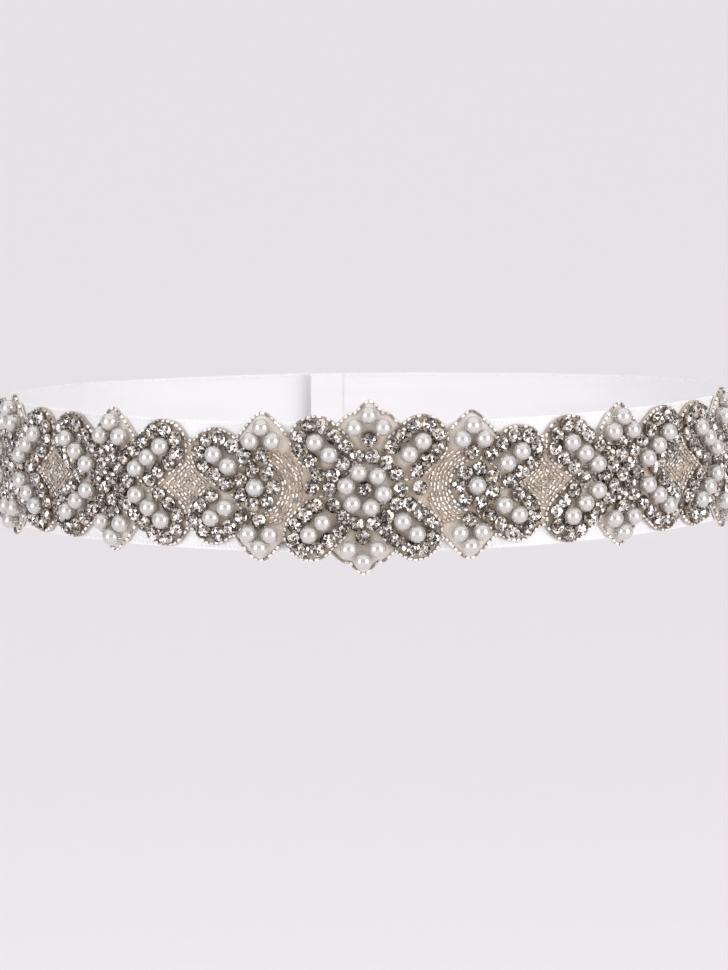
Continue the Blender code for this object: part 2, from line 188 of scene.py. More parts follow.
class SashBeads(bpy.types.PropertyGroup):
    """Sizes and colours of the pearls, stones and seed beads."""

    pearl: length("Pearl", "Diameter of a pearl", 5.3 * MM)
    stone: length("Stone", "Diameter of a stone in its cup", 4.85 * MM)
    border_bead: length("Border bead", "Length of a bead along its thread", 1.42 * MM)
    field_bead: length("Field bead", "Length of a bead along its thread", 1.46 * MM)
    border_pitch: length("Border pitch", "From bead to bead along a border", 1.54 * MM)
    field_pitch: length("Field pitch", "From bead to bead along the rows of a field", 1.56 * MM)
    row_pitch: length("Row pitch", "From row to row where beads fill a field", 1.08 * MM)
    seed: bpy.props.IntProperty(name="Seed", description="Of the hand-sewn unevenness", default=7)
    pearl_white: colour("Pearl", "Colour of the pearls", (0.49, 0.468, 0.45))
    silver: colour("Silver", "Colour of the stones' cups", (0.60, 0.535, 0.46))
    bead_light: colour("Bead light", "The brightest seed beads", (0.95, 0.91, 0.87))
    bead_clear: colour("Bead clear", "Seed beads that show the cloth's shade", (0.45, 0.385, 0.33))
    bead_dark: colour("Bead dark", "The darkest seed beads", (0.08, 0.06, 0.048))


class SashStage(bpy.types.PropertyGroup):
    """The camera, the lights and the floor."""

    distance: length("Camera distance", "From the panel's front", 1.5)
    azimuth: bpy.props.FloatProperty(
        name="Azimuth", description="Of the camera", default=math.radians(0.8), subtype="ANGLE"
    )
    elevation: bpy.props.FloatProperty(
        name="Elevation", description="Of the camera", default=math.radians(4.6), subtype="ANGLE"
    )
    roll: bpy.props.FloatProperty(
        name="Roll", description="Turn of the camera", default=math.radians(0.65), subtype="ANGLE"
    )
    frame_height: length("Frame height", "Height of the picture at the panel's front", 283 * MM)
    floor_drop: length("Floor drop", "From the ribbon's middle to the floor", 0.3)
    floor: colour("Floor", "Colour of the floor", (0.903, 0.862, 0.886))


# The waist curve


class Waist:
    """The closed curve that the ribbon's inner face follows, measured by its length."""

    def __init__(self, half_width, half_depth, steps=7200):
        self.half_width = half_width
        self.half_depth = half_depth
        self.turn = np.linspace(0, 2 * math.pi, steps + 1)
        across = half_width * np.sin(self.turn)
        deep = -half_depth * np.cos(self.turn)
        pieces = np.hypot(np.diff(across), np.diff(deep))
        self.length = np.concatenate([[0], np.cumsum(pieces)])
        self.round = float(self.length[-1])

    def angle(self, along):
        whole = math.floor(along / self.round)
        rest = along - whole * self.round
        return 2 * math.pi * whole + float(np.interp(rest, self.length, self.turn))

    def normal(self, along):
        turn = self.angle(along)
        return Vector((self.half_depth * math.sin(turn), -self.half_width * math.cos(turn), 0)).normalized()

    def point(self, along, up, out):
        """The place of a point of the flat layout."""
        turn = self.angle(along)
        dip = FRONT_DIP * max(0.0, math.cos(turn)) ** 2
        foot = Vector((self.half_width * math.sin(turn), -self.half_depth * math.cos(turn), up - dip))
        return foot + self.normal(along) * out

    def direction(self, along, up, heading):
        """Which way an angle of the flat layout points at one place."""
        step = 0.1 * MM
        there = self.point(along + step * math.cos(heading), up + step * math.sin(heading), 0)
        return (there - self.point(along, up, 0)).normalized()


WAIST = Waist(WAIST_HALF_WIDTH, WAIST_HALF_DEPTH)
HALF_ROUND = WAIST.round / 2


# The plan of the beaded panel, at and to the right of the centre front

Spot = namedtuple("Spot", "place heading")


def leaning(motif, side):
    """The motif as laid out to the right, for a copy that is turned over where side is -1."""
    return motif._replace(lean=side * motif.lean)


def leaf_axes(leaf, side, rise):
    """A leaf's own directions, lengthways and crossways, in the quarter that side and rise give."""
    angle = math.radians(leaf.angle)
    lengthways = Vector((side * math.cos(angle), rise * math.sin(angle)))
    crossways = Vector((-side * math.sin(angle), rise * math.cos(angle)))
    return lengthways, crossways


def leaf_middle(motif, leaf, side, rise):
    return Vector((motif.centre + side * leaf.along + rise * motif.lean, rise * leaf.up))


def leaf_sides(motif):
    """The flower has leaves only on the side away from the centre front."""
    return (1,) if motif.kind == "flower" else (1, -1)


def leaf_quarters(motif):
    return [(side, rise) for side in leaf_sides(motif) for rise in (1, -1)]


def half_axis(leaf):
    """Half the distance between the first and the last pearl of a leaf."""
    return (leaf.pearls - 1) / 2 * PEARL_PITCH


def leaf_pearls(motif, side, rise):
    leaf = LEAVES[motif.kind]
    lengthways, _ = leaf_axes(leaf, side, rise)
    middle = leaf_middle(motif, leaf, side, rise)
    heading = math.atan2(lengthways.y, lengthways.x)
    return [
        Spot(middle + lengthways * (i * PEARL_PITCH - half_axis(leaf)), heading)
        for i in range(leaf.pearls)
    ]


def leaf_stones(motif, side, rise):
    """The stones round a leaf: out along one row, round the tip and back, open at the root."""
    leaf = LEAVES[motif.kind]
    lengthways, crossways = leaf_axes(leaf, side, rise)
    middle = leaf_middle(motif, leaf, side, rise)
    half = half_axis(leaf)
    first, tip, second = half - leaf.outer_row, math.pi * LOOP_RADIUS, half - leaf.inner_row
    count = round((first + tip + second) / STONE_PITCH)
    found = []
    for i in range(count + 1):
        way = (first + tip + second) * i / count
        turn = min(1.0, max(0.0, (way - first) / tip)) * math.pi
        if way < first:
            forward = leaf.outer_row + way
        else:
            forward = half - max(0.0, way - first - tip)
        place = lengthways * (forward + LOOP_RADIUS * math.sin(turn))
        place += crossways * LOOP_RADIUS * math.cos(turn)
        heading = math.atan2(lengthways.y, lengthways.x) + (-side * rise) * turn
        found.append(Spot(middle + place, heading))
    return found


def leaf_distance(place, motif, side, rise):
    """How far a place is from the line of a leaf's pearls."""
    leaf = LEAVES[motif.kind]
    lengthways, _ = leaf_axes(leaf, side, rise)
    off = place - leaf_middle(motif, leaf, side, rise)
    half = half_axis(leaf)
    forward = min(half, max(-half, off.dot(lengthways)))
    return (off - lengthways * forward).length


def leaf_border(motif, side, rise, radius):
    """A closed line round a leaf."""
    leaf = LEAVES[motif.kind]
    lengthways, crossways = leaf_axes(leaf, side, rise)
    middle = leaf_middle(motif, leaf, side, rise)
    found = []
    for end in (1, -1):
        for i in range(41):
            turn = math.pi * i / 40
            place = lengthways * end * (half_axis(leaf) + radius * math.sin(turn))
            found.append(middle + place + crossways * end * radius * math.cos(turn))
    return found + found[:1]


def ring_spots(centre, radius, count, first_degrees):
    """Spots evenly round a ring, each with the way the ring runs there."""
    found = []
    for i in range(count):
        angle = math.radians(first_degrees) + 2 * math.pi * i / count
        place = centre + radius * Vector((math.cos(angle), math.sin(angle)))
        found.append(Spot(place, angle + math.pi / 2))
    return found


def cluster_spots(centre):
    """Nine stones in a square that stands on its corner."""
    slant = CLUSTER_PITCH / math.sqrt(2)
    return [
        Spot(Vector((centre + (i + j) * slant, (i - j) * slant)), math.pi / 4)
        for i in (-1, 0, 1)
        for j in (-1, 0, 1)
    ]


def motif_plan(motif):
    """The pearls and the stones of a motif."""
    trefoil = TREFOILS[motif.kind]
    pearls, stones = [], []
    if motif.kind == "medallion":
        pearls += ring_spots(HEART, MEDALLION_PEARL_RING, MEDALLION_PEARLS, MEDALLION_FIRST_PEARL)
        stones += [Spot(HEART, 0)]
        stones += ring_spots(HEART, MEDALLION_STONE_RING, MEDALLION_STONES, 0)
        stones += [Spot(Vector((side * SIDE_STONE, 0)), 0) for side in (-1, 1)]
    elif motif.kind == "flower":
        centre = Vector((motif.centre, 0))
        pearls += [Spot(centre, 0)]
        stones += ring_spots(centre, FLOWER_STONE_RING, FLOWER_STONES, 180)
    else:
        stones += cluster_spots(motif.centre)
    for rise in (1, -1):
        middle = motif.centre - trefoil.inward + rise * motif.lean
        for spread, up in ((-1, trefoil.low_up), (1, trefoil.low_up), (0, trefoil.top_up)):
            pearls.append(Spot(Vector((middle + spread * trefoil.low_spread, rise * up)), spread * rise))
        stones.append(Spot(Vector((middle, rise * trefoil.stone_up)), 0))
    for side, rise in leaf_quarters(motif):
        pearls += leaf_pearls(motif, side, rise)
        stones += leaf_stones(motif, side, rise)
        if motif.kind == "medallion":
            stones.append(Spot(Vector((side * CORNER_STONE[0], rise * CORNER_STONE[1])), 0))
    if motif.name == "end_cross":
        first = motif.end + END_PEARLS_PAST
        pearls += [Spot(Vector((first, up * END_PEARL_SPREAD)), up) for up in (-1, 1)]
        pearls += [Spot(Vector((first + END_PEARL_STEP, 0)), 0)]
    return pearls, spaced_out(stones, pearls)


def spaced_out(stones, pearls):
    """The stones in order, without any that would sit on an earlier one or on a pearl."""
    kept = []
    for stone in stones:
        clear = all((stone.place - other.place).length > STONES_APART for other in kept)
        if clear and all((stone.place - pearl.place).length > STONE_TO_PEARL for pearl in pearls):
            kept.append(stone)
    return kept


def leaf_top(along, middle, lengthways, half):
    """How high a leaf's round-ended outline reaches at one place, or 0 beside it."""
    top = 0.0
    for i in range(LEAF_CIRCLES):
        spot = middle + lengthways * half * (2 * i / (LEAF_CIRCLES - 1) - 1)
        reach = LEAF_RADIUS**2 - (along - spot.x) ** 2
        if reach > 0:
            top = max(top, spot.y + math.sqrt(reach))
    return top


SHOULDER_UP = 22.3 * MM
SHOULDER_HALF = 5.0 * MM
SHOULDER_FALL = 1.2
SHOULDER_ROUND = 2.0 * MM


def falling(off, peak, fall, rounding):
    """A peak that falls away on both sides, with its point rounded off."""
    return peak - fall * (math.hypot(off, rounding) - rounding)


def motif_top(along, motif, rise):
    """How high a motif's leaves and arch reach at one place, on its upper or its lower half."""
    leaf, trefoil = LEAVES[motif.kind], TREFOILS[motif.kind]
    off = along - (motif.centre - trefoil.inward + rise * motif.lean)
    top = falling(off, trefoil.peak, trefoil.fall, trefoil.round)
    if motif.kind == "medallion":
        past = max(0.0, abs(off) - SHOULDER_HALF)
        top = max(top, falling(past, SHOULDER_UP, SHOULDER_FALL, SHOULDER_ROUND))
    for side in leaf_sides(motif):
        lengthways, _ = leaf_axes(leaf, side, 1)
        middle = leaf_middle(motif, leaf, side, rise)
        middle.y = leaf.up
        top = max(top, leaf_top(along, middle, lengthways, half_axis(leaf)))
    return top


HAND_CUT = 0.22 * MM


def hand_cut(along, rise):
    """How far the scissors strayed from the outline at one place."""
    slow = math.sin(along / (4.7 * MM) + 1.3 * rise)
    quick = math.sin(along / (1.9 * MM) - 0.8 * rise)
    return HAND_CUT * (0.6 * slow + 0.4 * quick)


def panel_edge(along, rise):
    """How far the panel reaches up, or down where rise is -1, at a distance from the centre front."""
    past = abs(along) - END_CROSS.end
    if past > 0:
        return FIELD_HALF_HEIGHT * max(0.0, 1 - past / END_TIP) ** END_TIP_POWER
    side = math.copysign(1, along)
    tops = [motif_top(abs(along), leaning(motif, side), rise) for motif in SIDE_MOTIFS]
    return max(FIELD_HALF_HEIGHT, motif_top(along, MEDALLION, rise), *tops) + hand_cut(along, rise)


def motif_outline(motif, side, step):
    """The lower and the upper edge of a motif's cloth, laid out to the right, counterclockwise."""
    start, end = motif.start, motif.end
    if motif.name == "end_cross":
        end = motif.end + END_TIP - END_TIP_CUT
    count = math.ceil((end - start) / step)
    stations = [start + (end - start) * i / count for i in range(count + 1)]
    lower = [Vector((along, -panel_edge(side * along, -1))) for along in stations]
    upper = [Vector((along, panel_edge(side * along, 1))) for along in stations]
    return lower, upper[::-1]


# Where the seed beads are sewn

OUTLINE_INSET = 0.52 * MM
LEAF_BEAD_RADIUS = 7.45 * MM
FLOWER_BEAD_RADIUS = 7.7 * MM
CLUSTER_BEAD_REACH = 9.6 * MM
FAN_FIRST_ROW = 8.8 * MM
FAN_LAST_ROW = 17.0 * MM
FAN_HALF_HEIGHT = 10.4 * MM
FAN_INNER = 17.9 * MM
FIELD_REACH = 9.6 * MM
FIELD_EDGE = 1.1 * MM
BORDER_WANDER = 0.07 * MM
BORDER_SWING = 0.12
FIELD_WANDER = 0.11 * MM
FIELD_SWING = 0.18
BEAD_TO_STONE = 2.40 * MM
BEAD_TO_PEARL = 2.45 * MM
BEADS_APART = 0.90 * MM
ROW_BEADS_APART = 0.82 * MM


def walk(line, pitch, rng):
    """Spots along a line at about that pitch."""
    points = [line[0]]
    for point in line[1:]:
        if (point - points[-1]).length > 1e-7:
            points.append(point)
    ways = [0.0]
    for near, far in zip(points, points[1:]):
        ways.append(ways[-1] + (far - near).length)
    found = []
    way = pitch * rng.uniform(0.3, 0.7)
    piece = 0
    while way < ways[-1]:
        while ways[piece + 1] < way:
            piece += 1
        near, far = points[piece], points[piece + 1]
        share = (way - ways[piece]) / (ways[piece + 1] - ways[piece])
        run = far - near
        found.append(Spot(near + run * share, math.atan2(run.y, run.x)))
        way += pitch * rng.uniform(0.93, 1.07)
    return found


def hand_sewn(spots, rng, wander, swing):
    """The same spots, a little off their line and their heading."""
    return [
        Spot(
            spot.place + Vector((rng.gauss(0, wander), rng.gauss(0, wander))),
            spot.heading + rng.gauss(0, swing),
        )
        for spot in spots
    ]


def inset(line, distance):
    """A line moved to its left by a distance."""
    moved = []
    for i, point in enumerate(line):
        run = line[min(i + 1, len(line) - 1)] - line[max(i - 1, 0)]
        run.normalize()
        moved.append(point + Vector((-run.y, run.x)) * distance)
    return moved


def circle(centre, radius):
    return [
        Vector((centre + radius * math.cos(turn), radius * math.sin(turn)))
        for turn in (2 * math.pi * i / 72 for i in range(73))
    ]


def outline_lines(motif, side):
    """The bead lines along the cloth's cut edges."""
    lower, upper = motif_outline(motif, side, 0.4 * MM)
    if motif.name == "end_cross":
        return [inset(lower + upper, OUTLINE_INSET)]
    return [inset(lower, OUTLINE_INSET), inset(upper, OUTLINE_INSET)]


def border_lines(motif, side):
    """The bead lines round the shapes of a motif."""
    lines = [leaf_border(motif, *quarter, LEAF_BEAD_RADIUS) for quarter in leaf_quarters(motif)]
    if motif.kind == "flower":
        lines.append(circle(motif.centre, FLOWER_BEAD_RADIUS))
    if motif.kind == "cross":
        lines.append(diamond(Vector((motif.centre, 0)), CLUSTER_BEAD_REACH))
    return lines


def fan_rows(row_pitch):
    """Rows curved about the flower, in the field between it and the medallion."""
    rows = []
    radius = FAN_FIRST_ROW
    while radius < FAN_LAST_ROW:
        turns = [math.pi * (0.5 + i / 80) for i in range(81)]
        row = [Vector((FLOWER.centre + radius * math.cos(t), radius * math.sin(t))) for t in turns]
        rows.append(row)
        radius += row_pitch
    return rows


def diamond(centre, reach):
    corners = ((1, 0), (0, 1), (-1, 0), (0, -1), (1, 0))
    return [centre + reach * Vector(corner) for corner in corners]


def diamond_rows(middle, row_pitch):
    """Diamonds one inside the other, over the field between two motifs."""
    count = math.floor(2 * FIELD_REACH / (row_pitch * math.sqrt(2)))
    centre = Vector((middle, 0))
    return [diamond(centre, (i + 0.4) * row_pitch * math.sqrt(2)) for i in range(count)]


def on_a_leaf(place, side):
    return any(
        leaf_distance(place, leaning(motif, side), *quarter) < LEAF_BEAD_RADIUS + BEADS_APART
        for motif in (MEDALLION, *SIDE_MOTIFS)
        for quarter in leaf_quarters(motif)
    )


def inside_panel(place, side, edge):
    rise = 1 if place.y > 0 else -1
    return abs(place.y) < panel_edge(side * place.x, rise) - edge


def in_fan(place, side):
    past_flower = (place - Vector((FLOWER.centre, 0))).length > FLOWER_BEAD_RADIUS
    low = abs(place.y) < FAN_HALF_HEIGHT
    return low and past_flower and place.x > FAN_INNER and not on_a_leaf(place, side)


def in_field(place, side, middle):
    near = abs(place.x - middle) < FIELD_REACH
    return near and inside_panel(place, side, FIELD_EDGE) and not on_a_leaf(place, side)


class BeadCloth:
    """The beads sewn so far, with what they may not sit on."""

    def __init__(self, pearls, stones):
        self.pearls = np.array([spot.place for spot in pearls])
        self.stones = np.array([spot.place for spot in stones])
        self.cells = {}

    def cell(self, place):
        return math.floor(place.x / BEADS_APART), math.floor(place.y / BEADS_APART)

    def is_clear(self, place, apart):
        here = np.array(place)
        if np.hypot(*(self.pearls - here).T).min() < BEAD_TO_PEARL:
            return False
        if np.hypot(*(self.stones - here).T).min() < BEAD_TO_STONE:
            return False
        column, row = self.cell(place)
        near = (
            other
            for i in (-1, 0, 1)
            for j in (-1, 0, 1)
            for other in self.cells.get((column + i, row + j), ())
        )
        return all((other - place).length > apart for other in near)

    def sew(self, spots, apart):
        """The spots that a bead fits on, which it then takes up."""
        sewn = []
        for spot in spots:
            if self.is_clear(spot.place, apart):
                sewn.append(spot)
                self.cells.setdefault(self.cell(spot.place), []).append(spot.place)
        return sewn


def on_side(spots, side):
    """The spots as they are, or turned over to the left where side is -1."""
    if side > 0:
        return spots
    return [Spot(Vector((-spot.place.x, spot.place.y)), math.pi - spot.heading) for spot in spots]


def lay_out_panel(beads):
    """All pearls, stones and seed beads of the panel, by kind."""
    rng = random.Random(beads.seed)
    pearls, stones = motif_plan(MEDALLION)
    for motif in SIDE_MOTIFS:
        for side in (1, -1):
            more_pearls, more_stones = motif_plan(leaning(motif, side))
            pearls += on_side(more_pearls, side)
            stones += on_side(more_stones, side)
    cloth = BeadCloth(pearls, stones)
    borders, fillers = [], []
    for lines_of in (outline_lines, border_lines):
        for name, motif, side in pieces_of_panel():
            for line in lines_of(leaning(motif, side), side):
                spots = walk(line, beads.border_pitch, rng)
                spots = hand_sewn(spots, rng, BORDER_WANDER, BORDER_SWING)
                borders += cloth.sew(on_side(spots, side), BEADS_APART)
    fields = [(fan_rows(beads.row_pitch), in_fan)]
    for middle in (CROSS.start, CROSS.end, END_CROSS.end):
        rows = diamond_rows(middle, beads.row_pitch)
        fields.append((rows, lambda place, side, middle=middle: in_field(place, side, middle)))
    for rows, belongs in fields:
        for row in rows:
            for side in (1, -1):
                spots = hand_sewn(walk(row, beads.field_pitch, rng), rng, FIELD_WANDER, FIELD_SWING)
                inside = [spot for spot in spots if belongs(spot.place, side)]
                fillers += cloth.sew(on_side(inside, side), ROW_BEADS_APART)
    return {"pearls": pearls, "stones": stones, "borders": borders, "fillers": fillers}


def pieces_of_panel():
    """Each motif's node name, motif and side."""
    found = [("medallion", MEDALLION, 1)]
    for motif in SIDE_MOTIFS:
        found += [(motif.name + "_right", motif, 1), (motif.name + "_left", motif, -1)]
    return found


def on_motif(spot, motif, side):
    along = spot.place.x * side
    end = math.inf if motif.name == "end_cross" else motif.end
    return motif.start <= along < end


# Shader maths


def socket_of(value):
    return value.socket if isinstance(value, Wire) else value


class Wire:
    """A shader socket in an expression, where each operator adds its Math node."""

    def __init__(self, shader, socket):
        self.shader = shader
        self.socket = socket

    def math(self, operation, *values):
        return self.shader.node("ShaderNodeMath", {"operation": operation}, dict(enumerate(values)))

    def __add__(self, other):
        return self.math("ADD", self, other)

    __radd__ = __add__

    def __sub__(self, other):
        return self.math("SUBTRACT", self, other)

    def __rsub__(self, other):
        return self.math("SUBTRACT", other, self)

    def __mul__(self, other):
        return self.math("MULTIPLY", self, other)

    __rmul__ = __mul__

    def __truediv__(self, other):
        return self.math("DIVIDE", self, other)

    def __rtruediv__(self, other):
        return self.math("DIVIDE", other, self)

    def sine(self):
        return self.math("SINE", self)

    def above(self, limit):
        return self.math("GREATER_THAN", self, limit)


class Finish:
    """A material made from its Principled shader, with short ways to add nodes."""

    def __init__(self, name, **constants):
        self.material = bpy.data.materials.new(name)
        self.material.use_nodes = True
        self.nodes = self.material.node_tree.nodes
        self.links = self.material.node_tree.links
        self.shader = self.nodes["Principled BSDF"]
        for label, value in constants.items():
            self.shader.inputs[label.replace("_", " ").title()].default_value = value

    def node(self, kind, settings=None, sockets=None, output=0):
        """A new node with its settings made first, then the values or links of its sockets."""
        node = self.nodes.new(kind)
        for label, value in (settings or {}).items():
            setattr(node, label, value)
        for label, value in (sockets or {}).items():
            value = socket_of(value)
            if isinstance(value, bpy.types.NodeSocket):
                self.links.new(value, node.inputs[label])
            else:
                node.inputs[label].default_value = value
        return Wire(self, node.outputs[output])

    def attribute(self, name, output="Fac"):
        return self.node("ShaderNodeAttribute", {"attribute_name": name}, output=output)

    def place(self):
        return self.node("ShaderNodeTexCoord", output="Object")

    def cloth_place(self):
        return self.node("ShaderNodeUVMap", {"uv_map": CLOTH_MAP})

    def stretched(self, vector, scale):
        sockets = {"Vector": vector, "Scale": scale}
        return self.node("ShaderNodeMapping", {}, sockets)

    def noise(self, vector, scale, detail=2.0, roughness=0.5):
        sockets = {"Vector": vector, "Scale": scale, "Detail": detail, "Roughness": roughness}
        return self.node("ShaderNodeTexNoise", {}, sockets)

    def mix(self, factor, first, second):
        """Between two colours."""
        sockets = {0: factor, 6: whole_colour(first), 7: whole_colour(second)}
        return self.node("ShaderNodeMix", {"data_type": "RGBA"}, sockets, output=2)

    def axis(self, vector, index):
        return self.node("ShaderNodeSeparateXYZ", {}, {0: vector}, output=index)

    def ramp(self, value, stops, interpolation="LINEAR"):
        """A colour that steps or blends through (position, colour) stops."""
        node = self.nodes.new("ShaderNodeValToRGB")
        node.color_ramp.interpolation = interpolation
        elements = node.color_ramp.elements
        while len(elements) < len(stops):
            elements.new(1.0)
        for element, (position, shade) in zip(elements, stops):
            element.position = position
            element.color = whole_colour(shade)
        self.links.new(socket_of(value), node.inputs[0])
        return Wire(self, node.outputs[0])

    def bump(self, height, distance, strength=1.0):
        sockets = {"Height": height, "Distance": distance, "Strength": strength}
        return self.node("ShaderNodeBump", {}, sockets)

    def wire_up(self, **inputs):
        for label, value in inputs.items():
            self.links.new(socket_of(value), self.shader.inputs[label.replace("_", " ").title()])
        return self.material


def whole_colour(shade):
    """A colour with its alpha, or the wire or socket as it is."""
    if isinstance(shade, Wire):
        return shade
    return (*shade, 1.0) if len(shade) == 3 else tuple(shade)


CLOTH_MAP = "cloth"
TAU = 2 * math.pi


def finish_satin(cloth):
    """Double-faced satin: fine threads along the ribbon, a soft sheen and faint slubs."""
    look = Finish("satin", roughness=0.42, sheen_weight=0.25, sheen_roughness=0.35)
    place = look.cloth_place()
    threads = look.noise(look.stretched(place, (60, 5200, 1)), 1.0, 2.0)
    slubs = look.noise(look.stretched(place, (25, 420, 1)), 1.0, 3.0)
    cloudy = look.noise(place, 28.0, 2.0)
    shade = threads * 0.05 + slubs * 0.05 + cloudy * 0.05
    deep = [part * 0.90 for part in cloth.satin]
    return look.wire_up(
        base_color=look.mix(shade * 6.6, deep, cloth.satin),
        roughness=0.30 + threads * 0.16 + cloudy * 0.06,
        normal=look.bump(threads * 0.7 + slubs, 0.05 * MM, 0.5),
    )


def finish_backing(cloth):
    """Ivory net laid over felt: a fine crossed weave with a little fuzz, and a warm painted shade near the stones and
    beads and along the cut edge.
    """
    look = Finish("ivory_backing", roughness=0.8, sheen_weight=0.3, sheen_roughness=0.5)
    place = look.cloth_place()
    weave = (look.axis(place, 0) * (TAU / (0.7 * MM))).sine() * (
        look.axis(place, 1) * (TAU / (0.7 * MM))
    ).sine()
    fuzz = look.noise(place, 1800.0, 3.0, 0.65)
    cloudy = look.noise(place, 140.0, 2.0)
    # Painted shade: darker and warmer towards the stones, the seed beads and the cut edge, mottled a little; deep is
    # its colour.
    painted_shade_near_beads = look.attribute("stain") * (0.6 + cloudy * 0.6)
    deep = [part * factor for part, factor in zip(cloth.ivory, (0.57, 0.49, 0.42))]
    shade = painted_shade_near_beads + (0.5 - fuzz) * 0.3
    return look.wire_up(
        base_color=look.mix(shade, cloth.ivory, deep),
        roughness=0.68 + fuzz * 0.2,
        normal=look.bump(weave * 0.35 + fuzz, 0.08 * MM, 0.6),
    )


def finish_pearl(beads):
    """Glass pearls: a milky lustre under a clear gloss, each a shade apart from the next."""
    look = Finish("pearl", metallic=0.30, sheen_weight=1.0, sheen_roughness=0.25, coat_weight=1.0, coat_roughness=0.05)
    look.shader.inputs["Coat IOR"].default_value = 2.6
    tone = look.attribute("tone")
    nacre = look.noise(look.place(), 420.0, 3.0)
    warm = [part * factor for part, factor in zip(beads.pearl_white, (1.0, 0.965, 0.93))]
    return look.wire_up(
        base_color=look.mix(tone * 0.7 + nacre * 0.3, beads.pearl_white, warm),
        roughness=0.22 + nacre * 0.08,
    )


def finish_crystal():
    """Cut crystal: each facet is painted a shade from near black to white, a painted reflection of the light and the
    dark round it, under a clear coat.
    """
    look = Finish("crystal", metallic=0.9, coat_weight=1.0, coat_roughness=0.01)
    sockets = {"Vector": look.node("ShaderNodeCombineXYZ", {}, {0: look.attribute("facet"), 1: look.attribute("tone") * 91.7})}
    # A random pick for each facet, which sets its painted reflection and its roughness.
    painted_reflection_pick = look.node("ShaderNodeTexWhiteNoise", {"noise_dimensions": "2D"}, sockets)
    # Painted reflections from near black through greys to white painted glints.
    stops = [
        (0.0, (0.020, 0.012, 0.009)),
        (0.30, (0.070, 0.052, 0.042)),
        (0.47, (0.235, 0.19, 0.15)),
        (0.61, (0.49, 0.425, 0.365)),
        (0.74, (0.82, 0.765, 0.705)),
        (0.86, (1.0, 1.0, 1.0)),
    ]
    return look.wire_up(
        base_color=look.ramp(painted_reflection_pick, stops, "CONSTANT"),
        roughness=0.04 + painted_reflection_pick * 0.10,
    )


def finish_silver(beads):
    """The stones' stamped cups and claws, a little tarnished, with a painted highlight on the claws."""
    look = Finish("silver_cup", metallic=1.0)
    tarnish = look.noise(look.place(), 900.0, 3.0)
    claw = look.attribute("claw")
    dark = [part * 0.30 for part in beads.silver]
    # Painted highlight: the claws are a lighter copy of the cup's silver.
    painted_claw_highlight = [part * 0.95 for part in beads.silver]
    cup = look.mix(tarnish * 0.9 + look.attribute("tone") * 0.3, dark, beads.silver)
    return look.wire_up(
        base_color=look.mix(claw, cup, painted_claw_highlight),
        roughness=0.20 + tarnish * 0.25,
    )


def finish_seed_beads(name, beads, dark_share, light_from):
    """Silver-lined glass seed beads, no two quite alike, with a share of them dark, and painted shade at their ends
    where the holes are.
    """
    look = Finish(name, metallic=0.3, coat_weight=1.0, coat_roughness=0.05)
    look.shader.inputs["Coat IOR"].default_value = 1.9
    stops = [
        (0.0, beads.bead_dark),
        (dark_share, beads.bead_dark),
        (dark_share + 0.06, beads.bead_clear),
        (light_from, beads.bead_clear),
        (light_from + 0.1, beads.bead_light),
    ]
    shade = look.ramp(look.attribute("tone"), stops)
    streak = look.noise(look.place(), 2600.0, 2.0)
    lined = look.mix(streak * 0.35, shade, (0.95, 0.91, 0.86))
    # Painted shade on each bead's ends and shoulders, where the holes and the gaps between beads are.
    return look.wire_up(
        base_color=look.mix(look.attribute("hole") * 0.8, lined, (0.05, 0.04, 0.03)),
        roughness=0.16 + streak * 0.22,
    )


def finish_thread(cloth):
    look = Finish("thread", roughness=0.6, sheen_weight=0.4)
    twist = look.noise(look.place(), 5200.0, 2.0)
    deep = [part * 0.8 for part in cloth.thread]
    return look.wire_up(
        base_color=look.mix(twist, deep, cloth.thread),
        normal=look.bump(twist, 0.04 * MM, 0.5),
    )


def finish_hook():
    """Nickel-plated steel, brushed lengthways by wear."""
    look = Finish("hook_metal", metallic=1.0)
    wear = look.noise(look.stretched(look.place(), (250, 250, 2600)), 1.0, 3.0)
    return look.wire_up(
        base_color=look.mix(wear, (0.48, 0.47, 0.46), (0.72, 0.71, 0.69)),
        roughness=0.20 + wear * 0.22,
        normal=look.bump(wear, 0.02 * MM, 0.4),
    )


def finish_floor(stage):
    look = Finish("floor", roughness=0.85)
    look.shader.inputs["Specular IOR Level"].default_value = 0.2
    grain = look.noise(look.place(), 60.0, 2.0)
    deep = [part * 0.985 for part in stage.floor]
    return look.wire_up(base_color=look.mix(grain, deep, stage.floor))


# Sewing copies of a form onto points

SEW_INPUTS = (
    ("Points", "NodeSocketGeometry", None),
    ("Form", "NodeSocketObject", None),
    ("Size", "NodeSocketFloat", 1 * MM),
    ("Size Spread", "NodeSocketFloat", 0.0),
    ("Tilt", "NodeSocketFloat", 0.0),
    ("Spin", "NodeSocketFloat", 0.0),
    ("Seed", "NodeSocketInt", 1),
    ("Finish", "NodeSocketMaterial", None),
)


